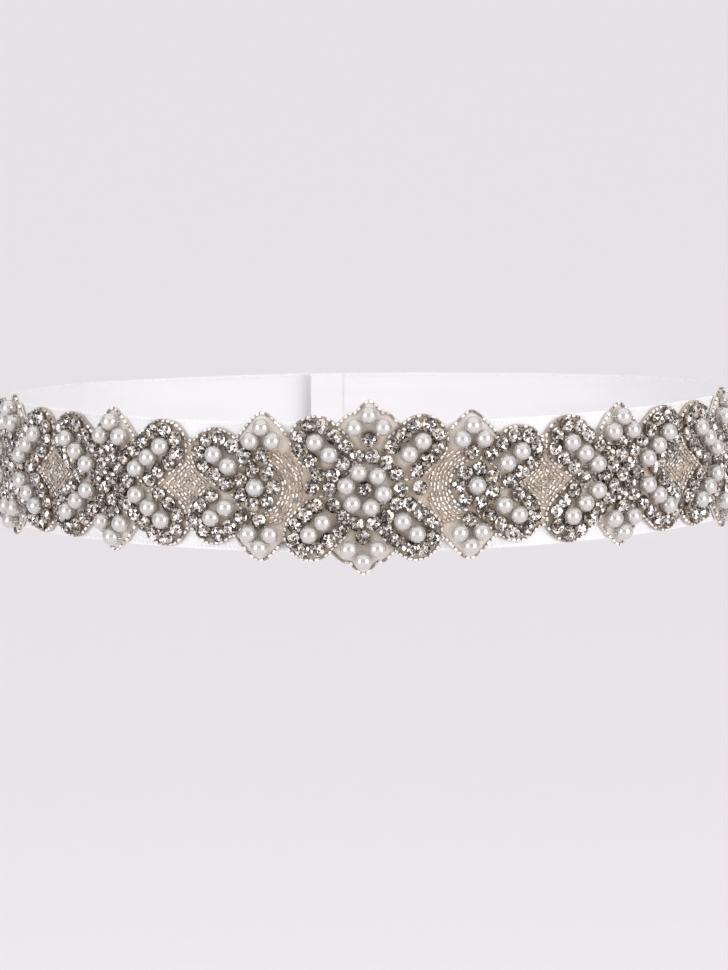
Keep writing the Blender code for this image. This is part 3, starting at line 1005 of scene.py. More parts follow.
def sewing_group():
    """The node group that sews a form onto each point, standing on the cloth and turned along its row."""
    found = bpy.data.node_groups.get("sew_on")
    if found:
        return found
    group = bpy.data.node_groups.new("sew_on", "GeometryNodeTree")
    for label, kind, default in SEW_INPUTS:
        socket = group.interface.new_socket(label, in_out="INPUT", socket_type=kind)
        if default is not None:
            socket.default_value = default
    group.interface.new_socket("Sewn", in_out="OUTPUT", socket_type="NodeSocketGeometry")
    given = group.nodes.new("NodeGroupInput").outputs

    def node(kind, settings=None, sockets=None):
        made = group.nodes.new(kind)
        for label, value in (settings or {}).items():
            setattr(made, label, value)
        for label, value in (sockets or {}).items():
            if isinstance(value, bpy.types.NodeSocket):
                group.links.new(value, made.inputs[label])
            else:
                made.inputs[label].default_value = value
        return made.outputs

    def vector_attribute(name):
        return node("GeometryNodeInputNamedAttribute", {"data_type": "FLOAT_VECTOR"}, {"Name": name})[0]

    def shift(offset):
        return node("ShaderNodeMath", {"operation": "ADD"}, {0: given["Seed"], 1: offset})[0]

    def minus(value):
        return node("ShaderNodeMath", {"operation": "MULTIPLY"}, {0: value, 1: -1.0})[0]

    axes = node(
        "FunctionNodeAxesToRotation",
        {"primary_axis": "Z", "secondary_axis": "X"},
        {0: vector_attribute("facing"), 1: vector_attribute("heading")},
    )[0]
    low = node("ShaderNodeCombineXYZ", {}, {0: minus(given["Tilt"]), 1: minus(given["Tilt"]), 2: minus(given["Spin"])})
    high = node("ShaderNodeCombineXYZ", {}, {0: given["Tilt"], 1: given["Tilt"], 2: given["Spin"]})
    lean = node(
        "FunctionNodeRandomValue",
        {"data_type": "FLOAT_VECTOR"},
        {0: low[0], 1: high[0], "Seed": given["Seed"]},
    )[0]
    turned = node("FunctionNodeEulerToRotation", {}, {0: lean})[0]
    rotation = node("FunctionNodeRotateRotation", {"rotation_space": "LOCAL"}, {0: axes, 1: turned})[0]
    spread = node(
        "FunctionNodeRandomValue",
        {"data_type": "FLOAT"},
        {2: minus(given["Size Spread"]), 3: given["Size Spread"], "Seed": shift(11.0)},
    )[1]
    share = node("ShaderNodeMath", {"operation": "ADD"}, {0: spread, 1: 1.0})[0]
    size = node("ShaderNodeMath", {"operation": "MULTIPLY"}, {0: given["Size"], 1: share})[0]
    form = node("GeometryNodeObjectInfo", {"transform_space": "ORIGINAL"}, {"Object": given["Form"]})
    placed = node(
        "GeometryNodeInstanceOnPoints",
        {},
        {"Points": given["Points"], "Instance": form["Geometry"], "Rotation": rotation, "Scale": size},
    )[0]
    tone = node("FunctionNodeRandomValue", {"data_type": "FLOAT"}, {2: 0.0, 3: 1.0, "Seed": shift(23.0)})[1]
    toned = node(
        "GeometryNodeStoreNamedAttribute",
        {"data_type": "FLOAT", "domain": "INSTANCE"},
        {"Geometry": placed, "Name": "tone", "Value": tone},
    )[0]
    real = node("GeometryNodeRealizeInstances", {}, {0: toned})[0]
    finished = node("GeometryNodeSetMaterial", {}, {"Geometry": real, "Material": given["Finish"]})[0]
    group.links.new(finished, group.nodes.new("NodeGroupOutput").inputs[0])
    return group


def link(name, mesh):
    piece = bpy.data.objects.new(name, mesh)
    bpy.context.scene.collection.objects.link(piece)
    return piece


def points_mesh(name, spots, rise, side):
    """A mesh of single points where the spots are, each knowing which way is out and along.

    Rise gives the height of a place above the waist, and side is -1 on the face towards the body.
    """
    places = [WAIST.point(*spot.place, rise(*spot.place)) for spot in spots]
    mesh = bpy.data.meshes.new(name)
    mesh.from_pydata(places, [], [])
    facing = [side * WAIST.normal(spot.place.x) for spot in spots]
    heading = [WAIST.direction(*spot.place, spot.heading) for spot in spots]
    for label, vectors in (("facing", facing), ("heading", heading)):
        attribute = mesh.attributes.new(label, "FLOAT_VECTOR", "POINT")
        attribute.data.foreach_set("vector", np.array(vectors, np.float32).ravel())
    return mesh


def level(out):
    """The same height everywhere."""
    return lambda along, up: out


def sew_on(name, spots, rise, form, finish, side=1, **sizes):
    """A piece made of a form sewn at every spot."""
    piece = link(name, points_mesh(name + "_points", spots, rise, side))
    group = sewing_group()
    modifier = piece.modifiers.new("Sew on", "NODES")
    modifier.node_group = group
    identifiers = {item.name: item.identifier for item in group.interface.items_tree}
    values = {"Form": form, "Finish": finish}
    values.update({label.replace("_", " ").title(): value for label, value in sizes.items()})
    for label, value in values.items():
        modifier[identifiers[label]] = value
    depsgraph = bpy.context.evaluated_depsgraph_get()
    made = bpy.data.meshes.new_from_object(
        piece.evaluated_get(depsgraph), preserve_all_data_layers=True, depsgraph=depsgraph
    )
    made.name = name
    piece.modifiers.remove(modifier)
    piece.data = made
    return piece


def hand_over(piece, slot, *nodes):
    """Puts a finished piece on the frame's body and hides the nodes that it stands for. The slot is not used."""
    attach(piece, BODY)
    if nodes:
        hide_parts(*nodes)
    return piece


# The forms that are sewn on, each 1 across


def form_object(name, points, faces, smooth, values=None):
    mesh = bpy.data.meshes.new(name)
    mesh.from_pydata(points, [], faces)
    if smooth:
        mesh.shade_smooth()
        mesh.set_sharp_from_angle(angle=math.radians(50))
    for label, numbers in (values or {}).items():
        attribute = mesh.attributes.new(label, "FLOAT", "FACE")
        attribute.data.foreach_set("value", numbers)
    return link(name, mesh)


def turned_form(name, profile, sides, axis, values=None):
    """A closed form turned from (along the axis, radius) pairs, its ends filled, about X or Z."""
    points, faces = [], []
    for way, radius in profile:
        for i in range(sides):
            turn = TAU * i / sides
            ring = (radius * math.cos(turn), radius * math.sin(turn))
            points.append((way, *ring) if axis == "X" else (*ring, way))
    for k in range(len(profile) - 1):
        for i in range(sides):
            after = (i + 1) % sides
            faces.append((k * sides + i, k * sides + after, (k + 1) * sides + after, (k + 1) * sides + i))
    last = (len(profile) - 1) * sides
    faces += [tuple(range(sides))[::-1], tuple(range(last, last + sides))]
    return form_object(name, points, faces, True, values)


PEARL_BANDS = 11
PEARL_SIDES = 20
HOLE_RADIUS = 0.09
HOLE_DEPTH = 0.12


def pearl_form():
    """A round bead with its drilled hole along X."""
    edge = math.asin(HOLE_RADIUS / 0.5)
    turns = [edge + (math.pi - 2 * edge) * i / PEARL_BANDS for i in range(PEARL_BANDS + 1)]
    profile = [(-0.5 * math.cos(turn), 0.5 * math.sin(turn)) for turn in turns]
    deep = 0.5 - HOLE_DEPTH
    profile = [(-deep, HOLE_RADIUS * 0.9), *profile, (deep, HOLE_RADIUS * 0.9)]
    return turned_form("pearl_form", profile, PEARL_SIDES, "X")


BEAD_SIDES = 7


def bead_form(name, thick):
    """A short rod of glass, its thread along X, with painted shade at its ends where the holes are."""
    half = [(-0.46, 0.35), (-0.5, 0.62), (-0.38, 0.95)]
    profile = half + [(0.0, 1.0)] + [(-way, share) for way, share in half[::-1]]
    profile = [(way, share * thick / 2) for way, share in profile]
    # Where the painted shade goes: 1 on the ends and their shoulders.
    bands = [1.0, 1.0, 0.0, 0.0, 1.0, 1.0]
    values = [value for value in bands for _ in range(BEAD_SIDES)] + [1.0, 1.0]
    return turned_form(name, profile, BEAD_SIDES, "X", {"hole": values})


TABLE_RADIUS = 0.25
RAY_RADIUS = 0.215
CROWN_RADIUS = 0.385
GIRDLE_RADIUS = 0.472
GIRDLE_UP = 0.38
CROWN_UP = 0.475
TABLE_UP = 0.545
RAY_UP = 0.53
CENTRE_UP = 0.50
GIRDLE_THICK = 0.05


def stone_form():
    """A round cut stone: rays from the centre of its table, and two rows of crown facets."""

    def ring(radius, up, count, half_turn):
        turns = [TAU * (i + half_turn) / count for i in range(count)]
        return [(radius * math.cos(turn), radius * math.sin(turn), up) for turn in turns]

    points = [(0, 0, CENTRE_UP)]
    points += ring(RAY_RADIUS, RAY_UP, 8, 0.5)
    points += ring(TABLE_RADIUS, TABLE_UP, 8, 0)
    points += ring(CROWN_RADIUS, CROWN_UP, 8, 0.5)
    points += ring(GIRDLE_RADIUS, GIRDLE_UP, 16, 0)
    points += ring(GIRDLE_RADIUS, GIRDLE_UP - GIRDLE_THICK, 16, 0)
    ray, table, crown, girdle, base = 1, 9, 17, 25, 41
    faces, facets = [], []

    def facet(number, *corners):
        faces.append(corners)
        facets.append(number * 1.37)

    for k in range(8):
        after, before = (k + 1) % 8, (k - 1) % 8
        facet(k, 0, table + k, ray + k)
        facet(8 + k, 0, ray + k, table + after)
        facet(16 + k, ray + k, table + k, table + after)
        facet(24 + k, table + k, crown + k, table + after)
        low = girdle + 2 * k
        facet(32 + k, table + k, crown + before, low, crown + k)
        facet(40 + k, crown + k, low, low + 1)
        facet(40 + k, crown + k, low + 1, girdle + (2 * k + 2) % 16)
    for i in range(16):
        after = (i + 1) % 16
        facet(48 + i // 2, girdle + i, base + i, base + after, girdle + after)
    facet(56, *range(base + 15, base - 1, -1))
    return form_object("stone_form", points, faces, False, {"facet": facets})


CUP_SIDES = 12
CLAW_HALF_WIDTH = 0.042


def cup_form():
    """A stamped cup with four claws bent over the stone's edge."""
    profile = [(0.0, 0.33), (0.10, 0.42), (0.32, 0.478), (0.365, 0.486), (0.375, 0.470), (0.32, 0.44)]
    points, faces = [], []
    for up, radius in profile:
        for i in range(CUP_SIDES):
            turn = TAU * (i + 0.5) / CUP_SIDES
            points.append((radius * math.cos(turn), radius * math.sin(turn), up))
    for k in range(len(profile) - 1):
        for i in range(CUP_SIDES):
            after = (i + 1) % CUP_SIDES
            corners = (k * CUP_SIDES + i, k * CUP_SIDES + after)
            faces.append((*corners, corners[1] + CUP_SIDES, corners[0] + CUP_SIDES))
    last = (len(profile) - 1) * CUP_SIDES
    faces += [tuple(range(CUP_SIDES))[::-1], tuple(range(last, last + CUP_SIDES))]
    cup_faces = len(faces)
    outer = [(0.28, 0.495), (0.41, 0.50), (0.50, 0.425), (0.53, 0.36)]
    inner = [(0.28, 0.46), (0.39, 0.465), (0.46, 0.405), (0.49, 0.355)]
    for claw in range(4):
        turn = TAU * (claw + 0.5) / 4
        forward = Vector((math.cos(turn), math.sin(turn)))
        sideways = Vector((-forward.y, forward.x))
        first = len(points)
        for (out_up, out_far), (in_up, in_far) in zip(outer, inner):
            for up, far, half in (
                (out_up, out_far, CLAW_HALF_WIDTH * 0.7),
                (in_up, in_far, CLAW_HALF_WIDTH),
            ):
                for way in (-1, 1):
                    spot = forward * far + sideways * half * way
                    points.append((spot.x, spot.y, up))
        for k in range(3):
            a = first + 4 * k
            faces += [
                (a, a + 1, a + 5, a + 4),
                (a + 3, a + 2, a + 6, a + 7),
                (a + 2, a, a + 4, a + 6),
                (a + 1, a + 3, a + 7, a + 5),
            ]
        faces += [(first + 2, first + 3, first + 1, first), (first + 12, first + 13, first + 15, first + 14)]
    claws = [0.0] * cup_faces + [1.0] * (len(faces) - cup_faces)
    return form_object("cup_form", points, faces, True, {"claw": claws})


def stitch_form():
    """One short stitch of thread, its ends going into the cloth."""
    profile = [(-0.5, 0.03), (-0.42, 0.10), (-0.2, 0.13), (0.2, 0.13), (0.42, 0.10), (0.5, 0.03)]
    return turned_form("stitch_form", profile, 6, "X")


def tie_form():
    """The thread that holds a pearl: out of each end of its hole and down to the cloth."""
    points, faces = [], []
    sides, thick = 5, 0.02
    route = [(0.36, 0.0), (0.50, 0.0), (0.555, -0.08), (0.545, -0.22), (0.50, -0.40), (0.47, -0.50)]
    for way in (-1, 1):
        first = len(points)
        for k, (far, up) in enumerate(route):
            run = Vector(route[min(k + 1, 5)]) - Vector(route[max(k - 1, 0)])
            run.normalize()
            for i in range(sides):
                turn = TAU * i / sides
                shift = thick * math.cos(turn)
                points.append((way * (far - run.y * shift), thick * math.sin(turn), up + run.x * shift))
        for k in range(len(route) - 1):
            for i in range(sides):
                after = (i + 1) % sides
                quad = (first + k * sides + i, first + (k + 1) * sides + i)
                quad += (first + (k + 1) * sides + after, first + k * sides + after)
                faces.append(quad if way > 0 else quad[::-1])
        ends = [tuple(range(first, first + sides)), tuple(range(len(points) - sides, len(points)))[::-1]]
        faces += ends if way > 0 else [end[::-1] for end in ends]
    return form_object("tie_form", points, faces, True)


# The ribbon


def ribbon_lift(along):
    """How far the ribbon stands off the waist: the over end rises over the under end."""
    lap_start = -(HALF_ROUND - LAP / 2)
    return LAP_RISE * (1 - ease(along, lap_start - SEAM_GAP, lap_start + LAP_RAMP))


def ribbon_wave(along, up, width):
    """The soft waves of the loose edges at the sides of the back."""
    far = abs(along)
    free = ease(far, WAVE_FROM, WAVE_FROM + WAVE_BLEND)
    free *= 1 - ease(far, HALF_ROUND - WAVE_CLEAR - WAVE_BLEND, HALF_ROUND - WAVE_CLEAR)
    edge = 2 * up / width
    swing = math.sin(far / (9.1 * MM) + edge) + 0.6 * math.sin(far / (5.3 * MM) - 1.7 * edge)
    return WAVE_HEIGHT * free * edge * edge * (0.5 + 0.5 * swing)


def crease_depth(along, up):
    """The sum of the creases at one place."""
    depth = 0.0
    for crease in CREASES:
        off = along - crease.along
        if abs(off) > crease.length:
            continue
        turn = math.radians(crease.turn)
        lengthways = off * math.cos(turn) + (up - crease.up) * math.sin(turn)
        crossways = (up - crease.up) * math.cos(turn) - off * math.sin(turn)
        fade = 1 - ease(abs(lengthways), crease.length * 0.15, crease.length * 0.5)
        depth += crease.depth * fade * math.exp(-((crossways / crease.width) ** 2))
    return depth


def ribbon_rise(along, up, width):
    """How far the ribbon stands off its flat lay at one place."""
    return ribbon_lift(along) + ribbon_wave(along, up, width) + crease_depth(along, up)


def ribbon_path(step):
    """The ribbon seen from its edge: (along, out) of its middle line, with a turned hem at each end."""
    end = HALF_ROUND + LAP / 2
    radius = (RIBBON_OUT - HEM_OUT) / 2
    middle = (RIBBON_OUT + HEM_OUT) / 2
    turn_start = end - radius
    hem_steps = 6
    hem = [(turn_start - HEM + HEM * i / hem_steps, HEM_OUT) for i in range(hem_steps)]
    bend = [
        (turn_start + radius * math.cos(turn), middle + radius * math.sin(turn))
        for turn in (math.pi * (i / 6 - 0.5) for i in range(7))
    ]
    right = hem + bend
    left = [(-along, out) for along, out in right]
    count = math.ceil(2 * turn_start / step)
    run = [(-turn_start + 2 * turn_start * i / count, RIBBON_OUT) for i in range(1, count)]
    return left + run + right[::-1]


def ribbon_rows(width, selvedge):
    """Heights across the ribbon, closer at the selvedges, with each one's share of the thickness."""
    half = width / 2
    edge = [(0.0, 0.35), (0.12, 0.9), (0.35, 1.2), (0.75, 1.2), (1.0, 1.0)]
    low = [(-half + selvedge * share, thick) for share, thick in edge]
    inner = half - selvedge
    count = 18
    middle = [(-inner + 2 * inner * i / count, 1.0) for i in range(1, count)]
    high = [(-up, thick) for up, thick in reversed(low)]
    return low + middle + high


RIB_LENGTH = 1.4 * MM
RIB_SLANT = math.radians(62)
RIB_MARGIN = 1.5 * MM
HEM_LINE = 8 * MM
HEM_STITCH = 1.9 * MM


class SASH_OT_ribbon(bpy.types.Operator):
    """Make the satin ribbon with its hems, stitches and selvedges"""

    bl_idname = "sash.ribbon"
    bl_label = "Make Ribbon"

    def execute(self, context):
        cloth = context.scene.sash_cloth
        path = ribbon_path(2.0 * MM)
        rows = ribbon_rows(cloth.ribbon_width, cloth.selvedge)
        ways = [0.0]
        for near, far in zip(path, path[1:]):
            ways.append(ways[-1] + math.dist(near, far))
        points, flat = [], []
        for i, (along, out) in enumerate(path):
            before, after = path[max(i - 1, 0)], path[min(i + 1, len(path) - 1)]
            run = Vector((after[0] - before[0], after[1] - before[1])).normalized()
            for side in (1, -1):
                for up, thick in rows:
                    half = side * cloth.ribbon_thickness * thick / 2
                    there = along - run.y * half
                    rise = out + run.x * half + ribbon_rise(there, up, cloth.ribbon_width)
                    points.append(WAIST.point(there, up, rise))
                    flat.append((ways[i], up))
        count = len(rows)
        ring = [*range(count), *reversed(range(count, 2 * count))]
        faces = []
        for i in range(len(path) - 1):
            near, far = 2 * count * i, 2 * count * (i + 1)
            for k, corner in enumerate(ring):
                after = ring[(k + 1) % len(ring)]
                faces.append((near + corner, far + corner, far + after, near + after))
        for first, turned in ((0, False), (2 * count * (len(path) - 1), True)):
            for k in range(count - 1):
                quad = (first + k, first + k + 1, first + count + k + 1, first + count + k)
                faces.append(quad[::-1] if turned else quad)
        ribbon = cloth_piece("satin_ribbon_cloth", points, faces, flat, finish_satin(cloth))
        hand_over(ribbon, "satin", "satin_ribbon")
        self.rib_selvedges(cloth, ribbon.data.materials[0])
        self.sew_hems(cloth)
        return {"FINISHED"}

    def rib_selvedges(self, cloth, satin):
        """The slanted ribs woven along both edges, on both faces."""
        form = stitch_form()
        reach = HALF_ROUND + LAP / 2 - RIB_MARGIN
        count = math.floor(2 * reach / cloth.rib_pitch)
        line = cloth.ribbon_width / 2 - RIB_LENGTH / 2
        spots = [
            Spot(Vector((-reach + i * cloth.rib_pitch, rise * line)), rise * RIB_SLANT)
            for rise in (1, -1)
            for i in range(count + 1)
        ]
        for side, label in ((1, "outer"), (-1, "inner")):
            out = RIBBON_OUT + side * cloth.ribbon_thickness * 0.45
            self.sew("selvedge_ribs_" + label, spots, out, form, satin, side, RIB_LENGTH)
        bpy.data.objects.remove(form)

    def sew_hems(self, cloth):
        """A row of stitches across each hem."""
        form = stitch_form()
        thread = finish_thread(cloth)
        line = HALF_ROUND + LAP / 2 - HEM_LINE
        count = round((cloth.ribbon_width - 3 * MM) / cloth.stitch_pitch)
        spots = [
            Spot(Vector((side * line, (i - count / 2) * cloth.stitch_pitch)), math.pi / 2)
            for side in (1, -1)
            for i in range(count + 1)
        ]
        out = RIBBON_OUT + cloth.ribbon_thickness / 2
        self.sew("hem_stitches", spots, out, form, thread, 1, HEM_STITCH)
        bpy.data.objects.remove(form)

    def sew(self, name, spots, out, form, finish, side, size):
        width = bpy.context.scene.sash_cloth.ribbon_width

        def rise(along, up):
            return out + ribbon_rise(along, up, width)

        sizes = {"size": size, "size_spread": 0.06, "spin": 0.05, "seed": len(spots)}
        hand_over(sew_on(name, spots, rise, form, finish, side, **sizes), "satin")


def cloth_piece(name, points, faces, flat, finish):
    """A cloth piece with its flat layout kept as a UV map."""
    mesh = bpy.data.meshes.new(name)
    mesh.from_pydata(points, [], faces)
    mesh.shade_smooth()
    mesh.set_sharp_from_angle(angle=math.radians(60))
    layer = mesh.uv_layers.new(name=CLOTH_MAP)
    corners = np.empty(len(mesh.loops), np.int32)
    mesh.loops.foreach_get("vertex_index", corners)
    layer.data.foreach_set("uv", np.array(flat, np.float32)[corners].ravel())
    mesh.materials.append(finish)
    return link(name, mesh)


# The panel's cloth

BACKING_STEP = 0.6 * MM
BACKING_GRID = 0.8 * MM
EDGE_ROUND = 0.9 * MM
PUFF = 0.4 * MM
PUFF_REACH = 1.8 * MM
# How far the painted shade round the sewn things reaches over the backing.
PAINTED_SHADE_REACH = 1.5 * MM

# Each kind's radius, and how strong the painted shade round it is.
Sewn = namedtuple("Sewn", "radius stain")
SEWN = {
    "borders": Sewn(0.45 * MM, 0.14),
    "fillers": Sewn(0.30 * MM, 1.1),
    "stones": Sewn(2.2 * MM, 1.1),
    "pearls": Sewn(1.9 * MM, 0.0),
}


def seam(first, last):
    """The points between the two ends of a straight side."""
    count = round((last - first).length / BACKING_GRID)
    return [first.lerp(last, i / count) for i in range(1, count)]


def nearest(points, others):
    """The distance from each point to the nearest of the others."""
    found = np.empty(len(points))
    for start in range(0, len(points), 256):
        part = points[start : start + 256]
        gaps = np.hypot(part[:, None, 0] - others[None, :, 0], part[:, None, 1] - others[None, :, 1])
        found[start : start + 256] = gaps.min(1)
    return found


class SASH_OT_backing(bpy.types.Operator):
    """Make the ivory cloth that the beads of each motif are sewn on"""

    bl_idname = "sash.backing"
    bl_label = "Make Backing"

    def execute(self, context):
        cloth = context.scene.sash_cloth
        layout = lay_out_panel(context.scene.sash_beads)
        sewn = {kind: np.array([spot.place for spot in spots]) for kind, spots in layout.items()}
        finish = finish_backing(cloth)
        for name, motif, side in pieces_of_panel():
            self.make(name, motif, side, sewn, finish)
        return {"FINISHED"}

    def make(self, name, motif, side, sewn, finish):
        lower, upper = motif_outline(motif, side, BACKING_STEP)
        outline = lower + seam(lower[-1], upper[0]) + upper + seam(upper[-1], lower[0])
        grid = []
        rows = math.ceil(max(point.y for point in outline) / BACKING_GRID)
        width = lower[-1].x - lower[0].x
        columns = round(width / BACKING_GRID)
        for i in range(1, columns):
            for j in range(-rows, rows + 1):
                shift = BACKING_GRID * (0.5 * (i % 2))
                place = Vector((outline[0].x + i * width / columns, j * BACKING_GRID + shift))
                if inside_panel(place, side, 0.5 * BACKING_GRID):
                    grid.append(place)
        plan = [point / MM for point in outline + grid]
        count = len(outline)
        edges = [(i, (i + 1) % count) for i in range(count)]
        flat, _, triangles, sources, _, _ = delaunay_2d_cdt(plan, edges, [], 1, 1e-5)
        places = np.array(flat) * MM
        border = np.array(lower + upper)
        turned = places * (side, 1)
        inward = np.clip(nearest(places, border) / EDGE_ROUND, 0, 1)
        gaps = {kind: np.maximum(nearest(turned, sewn[kind]) - SEWN[kind].radius, 0) for kind in sewn}
        bare = np.min(list(gaps.values()), 0)
        rise = BACKING_EDGE + (BACKING_OUT - BACKING_EDGE) * np.sqrt(inward)
        rise += PUFF * (1 - np.exp(-((bare / PUFF_REACH) ** 2))) * inward
        # Painted shade on the backing next to what is sewn on it, and along the cut edge.
        stain = sum(SEWN[kind].stain * np.exp(-gap / PAINTED_SHADE_REACH) for kind, gap in gaps.items())
        stain += (1 - inward) * 0.35
        points = [WAIST.point(along, up, out) for (along, up), out in zip(turned, rise)]
        under = [WAIST.point(along, up, BACKING_IN) for along, up in turned]
        rim = {number: index for index, source in enumerate(sources) for number in source}
        first = len(points)
        faces = [tuple(face) for face in triangles]
        faces += [tuple(first + corner for corner in face[::-1]) for face in triangles]
        for i in range(count):
            near, far = rim[i], rim[(i + 1) % count]
            faces.append((far, near, first + near, first + far))
        if side < 0:
            faces = [face[::-1] for face in faces]
        layout = [tuple(place) for place in turned] * 2
        backing = cloth_piece(name + "_backing", points + under, faces, layout, finish)
        attribute = backing.data.attributes.new("stain", "FLOAT", "POINT")
        attribute.data.foreach_set("value", np.concatenate([stain, stain]))
        hand_over(backing, "beadwork", name)
        loop = zip(outline, outline[1:] + outline[:1])
        area = abs(sum(a.x * b.y - b.x * a.y for a, b in loop)) / 2


# The beadwork


class SASH_OT_pearls(bpy.types.Operator):
    """Sew on the pearls, with the thread that holds each one"""

    bl_idname = "sash.pearls"
    bl_label = "Sew Pearls"

    def execute(self, context):
        beads = context.scene.sash_beads
        spots = lay_out_panel(beads)["pearls"]
        form, tie = pearl_form(), tie_form()
        sizes = {"size": beads.pearl, "size_spread": 0.015, "tilt": 0.06, "spin": 0.12, "seed": beads.seed}
        hand_over(sew_on("pearls", spots, level(PEARL_OUT), form, finish_pearl(beads), **sizes), "beadwork")
        thread = finish_thread(context.scene.sash_cloth)
        hand_over(sew_on("pearl_threads", spots, level(PEARL_OUT), tie, thread, **sizes), "beadwork")
        bpy.data.objects.remove(form)
        bpy.data.objects.remove(tie)
        return {"FINISHED"}


class SASH_OT_stones(bpy.types.Operator):
    """Sew on the cut stones in their claw cups"""

    bl_idname = "sash.stones"
    bl_label = "Sew Stones"

    def execute(self, context):
        beads = context.scene.sash_beads
        spots = lay_out_panel(beads)["stones"]
        form, cup = stone_form(), cup_form()
        sizes = {"size": beads.stone, "size_spread": 0.03, "tilt": 0.13, "spin": 0.8, "seed": beads.seed + 1}
        hand_over(sew_on("stones", spots, level(STONE_OUT), form, finish_crystal(), **sizes), "beadwork")
        hand_over(sew_on("stone_cups", spots, level(STONE_OUT), cup, finish_silver(beads), **sizes), "beadwork")
        bpy.data.objects.remove(form)
        bpy.data.objects.remove(cup)
        return {"FINISHED"}


class SASH_OT_seed_beads(bpy.types.Operator):
    """Sew on the seed beads round every shape and over the fields between them"""

    bl_idname = "sash.seed_beads"
    bl_label = "Sew Seed Beads"

    def execute(self, context):
        beads = context.scene.sash_beads
        layout = lay_out_panel(beads)
        sizes = {"size_spread": 0.10, "tilt": 0.12, "spin": 0.08}
        kinds = (
            ("borders", beads.border_bead, 0.60, 0.22, 0.34),
            ("fillers", beads.field_bead, 0.38, 0.09, 0.60),
        )
        for kind, size, thick, dark_share, light_from in kinds:
            form = bead_form(kind + "_form", thick)
            finish = finish_seed_beads("seed_bead_" + kind, beads, dark_share, light_from)
            for number, (name, motif, side) in enumerate(pieces_of_panel()):
                own = [spot for spot in layout[kind] if on_motif(spot, motif, side)]
                if own:
                    label = f"{name}_{kind}"
                    piece = sew_on(label, own, level(BEAD_OUT), form, finish, size=size, seed=number + 1, **sizes)
                    hand_over(piece, "beadwork")
            bpy.data.objects.remove(form)
        return {"FINISHED"}


# The hooks and bars in the lap

HOOK_UP = 9 * MM
HOOK_WIDTH = 5 * MM
HOOK_LENGTH = 9 * MM
HOOK_PLATE = 0.5 * MM
TONGUE = 0.4 * MM
BAR_LENGTH = 10 * MM
BAR_FOOT = 1.6 * MM
BAR_WIDTH = 1.6 * MM
BAR_THICK = 0.5 * MM
BAR_FROM_EDGE = 7 * MM
CLOTH_WALL = 1.0 * MM
HEM_FOLD = 0.5 * MM


class SASH_OT_fastening(bpy.types.Operator):
    """Finish the hooks and bars that close the lap at the back"""

    bl_idname = "sash.fastening"
    bl_label = "Finish Hooks and Bars"

    def execute(self, context):
        metal = finish_hook()
        for name in ("hook_upper", "hook_lower", "bar_upper", "bar_lower"):
            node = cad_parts[name]
            node.data.materials.clear()
            node.data.materials.append(metal)
        return {"FINISHED"}


# The stage


def round_light(name, place, aim, size, watts, tint):
    light = bpy.data.lights.new(name, "AREA")
    light.shape = "DISK"
    light.size = size
    light.energy = watts
    light.color = tint
    lamp = link(name, light)
    lamp.location = place
    lamp.rotation_euler = (Vector(aim) - Vector(place)).to_track_quat("-Z", "Y").to_euler()
    lamp.visible_camera = False
    return lamp


def from_front(azimuth, elevation, distance):
    """A place round the panel's front: azimuth 0 is straight ahead of it, positive towards +X."""
    a, e = math.radians(azimuth), math.radians(elevation)
    way = Vector((math.sin(a) * math.cos(e), -math.cos(a) * math.cos(e), math.sin(e)))
    return PANEL_FRONT + way * distance


PANEL_FRONT = WAIST.point(0, 0, 5 * MM)
FLOOR_SIZE = 60.0
FLOOR_BEND_FROM = 1.0
FLOOR_BEND = 5.0
FLOOR_SLOPE = 0.2
AIM_SIDE = -0.54 * MM
AIM_UP = 1.17 * MM
SENSOR = 36.0


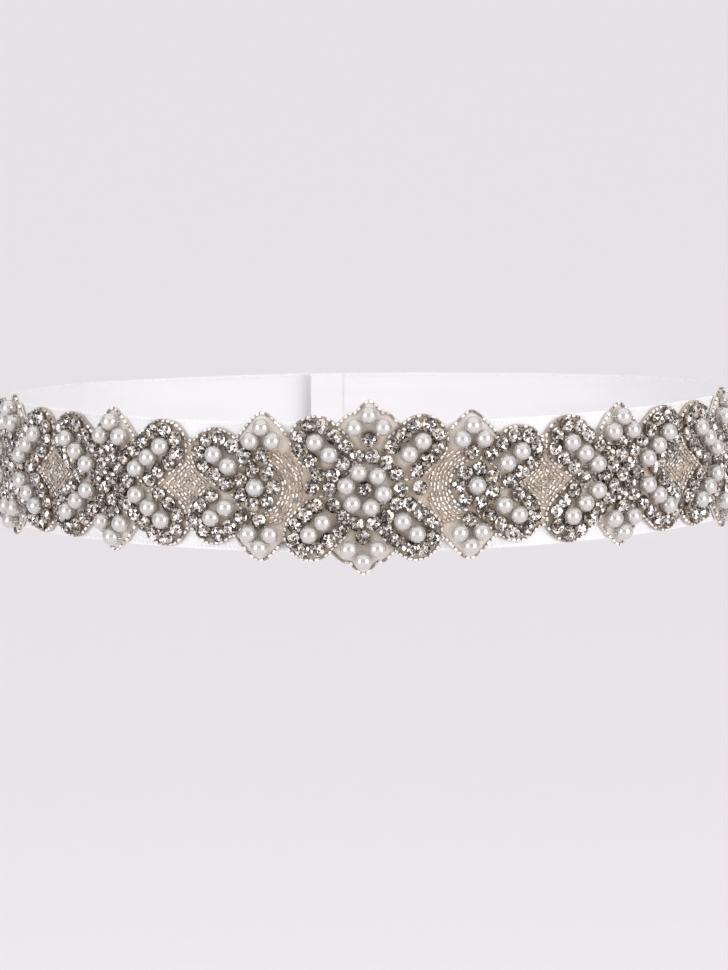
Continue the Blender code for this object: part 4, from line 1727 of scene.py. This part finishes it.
class SASH_OT_stage(bpy.types.Operator):
    """Set the floor, the lights and the camera"""

    bl_idname = "sash.stage"
    bl_label = "Set Stage"

    def execute(self, context):
        scene = context.scene
        stage = scene.sash_stage
        self.lay_floor(stage)
        self.light(scene)
        self.place_camera(scene, stage)
        return {"FINISHED"}

    def lay_floor(self, stage):
        """A plain floor that bends up gently far behind the sash, past the top of the picture."""
        half = FLOOR_SIZE / 2
        bend = [FLOOR_BEND_FROM + FLOOR_BEND * i / 16 for i in range(17)]
        points = []
        for y in (-half, *bend, half):
            into = min(FLOOR_BEND, max(0.0, y - FLOOR_BEND_FROM))
            past = max(0.0, y - FLOOR_BEND_FROM - FLOOR_BEND)
            z = FLOOR_SLOPE * (into * into / (2 * FLOOR_BEND) + past) - stage.floor_drop
            points += [(-half, y, z), (half, y, z)]
        faces = [(k, k + 1, k + 3, k + 2) for k in range(0, len(points) - 2, 2)]
        mesh = bpy.data.meshes.new("floor")
        mesh.from_pydata(points, [], faces)
        mesh.shade_smooth()
        mesh.materials.append(finish_floor(stage))
        link("floor", mesh)

    def light(self, scene):
        aim = PANEL_FRONT
        round_light("softbox_right", from_front(50, 9, 1.3), aim, 1.15, 9.0, (1.0, 0.983, 0.962))
        round_light("softbox_left", from_front(-47, 9, 1.3), aim, 1.15, 7.4, (0.97, 0.98, 1.0))
        self.soft_sun()
        world = bpy.data.worlds.new("studio")
        world.use_nodes = True
        background = world.node_tree.nodes["Background"]
        background.inputs["Color"].default_value = (0.96, 0.95, 0.98, 1)
        background.inputs["Strength"].default_value = 0.46
        scene.world = world
        scene.view_settings.view_transform = "Standard"

    def soft_sun(self):
        """An even light from above, which lights the floor alike near and far."""
        sun = bpy.data.lights.new("overhead", "SUN")
        sun.energy = 1.4
        sun.angle = math.radians(100)
        lamp = link("overhead", sun)
        lamp.rotation_euler = (math.radians(6), 0, 0)

    def place_camera(self, scene, stage):
        camera = bpy.data.cameras.new("camera")
        camera.sensor_width = SENSOR
        camera.lens = SENSOR * stage.distance / stage.frame_height
        camera.clip_end = 200.0
        holder = link("camera", camera)
        aim = PANEL_FRONT + Vector((AIM_SIDE, 0, AIM_UP))
        level_way = math.cos(stage.elevation)
        back = Vector((math.sin(stage.azimuth) * level_way, -math.cos(stage.azimuth) * level_way, 0))
        back.z = math.sin(stage.elevation)
        turned = (-back).to_track_quat("-Z", "Y").to_matrix().to_4x4()
        roll = Matrix.Rotation(-stage.roll, 4, "Z")
        holder.matrix_world = Matrix.Translation(aim + back * stage.distance) @ turned @ roll
        scene.camera = holder


OPERATORS = (
    SASH_OT_ribbon,
    SASH_OT_backing,
    SASH_OT_pearls,
    SASH_OT_stones,
    SASH_OT_seed_beads,
    SASH_OT_fastening,
    SASH_OT_stage,
)


class SASH_PT_sidebar(bpy.types.Panel):
    """Lists the steps that build the sash, and its sizes and colours"""

    bl_idname = "SASH_PT_sidebar"
    bl_label = "Bridal Sash"
    bl_space_type = "VIEW_3D"
    bl_region_type = "UI"
    bl_category = "Sash"

    def draw(self, context):
        for operator in OPERATORS:
            self.layout.operator(operator.bl_idname)
        for label in ("sash_cloth", "sash_beads", "sash_stage"):
            group = getattr(context.scene, label)
            box = self.layout.box()
            for name in group.__annotations__:
                box.prop(group, name)


CLASSES = (SashCloth, SashBeads, SashStage, *OPERATORS, SASH_PT_sidebar)


def register():
    for item in CLASSES:
        bpy.utils.register_class(item)
    bpy.types.Scene.sash_cloth = bpy.props.PointerProperty(type=SashCloth)
    bpy.types.Scene.sash_beads = bpy.props.PointerProperty(type=SashBeads)
    bpy.types.Scene.sash_stage = bpy.props.PointerProperty(type=SashStage)


def unregister():
    for name in ("sash_cloth", "sash_beads", "sash_stage"):
        delattr(bpy.types.Scene, name)
    for item in reversed(CLASSES):
        bpy.utils.unregister_class(item)


def main():
    register()
    bpy.ops.sash.ribbon()
    bpy.ops.sash.backing()
    bpy.ops.sash.pearls()
    bpy.ops.sash.stones()
    bpy.ops.sash.seed_beads()
    bpy.ops.sash.fastening()
    bpy.ops.sash.stage()


if __name__ == "__main__":
    main()
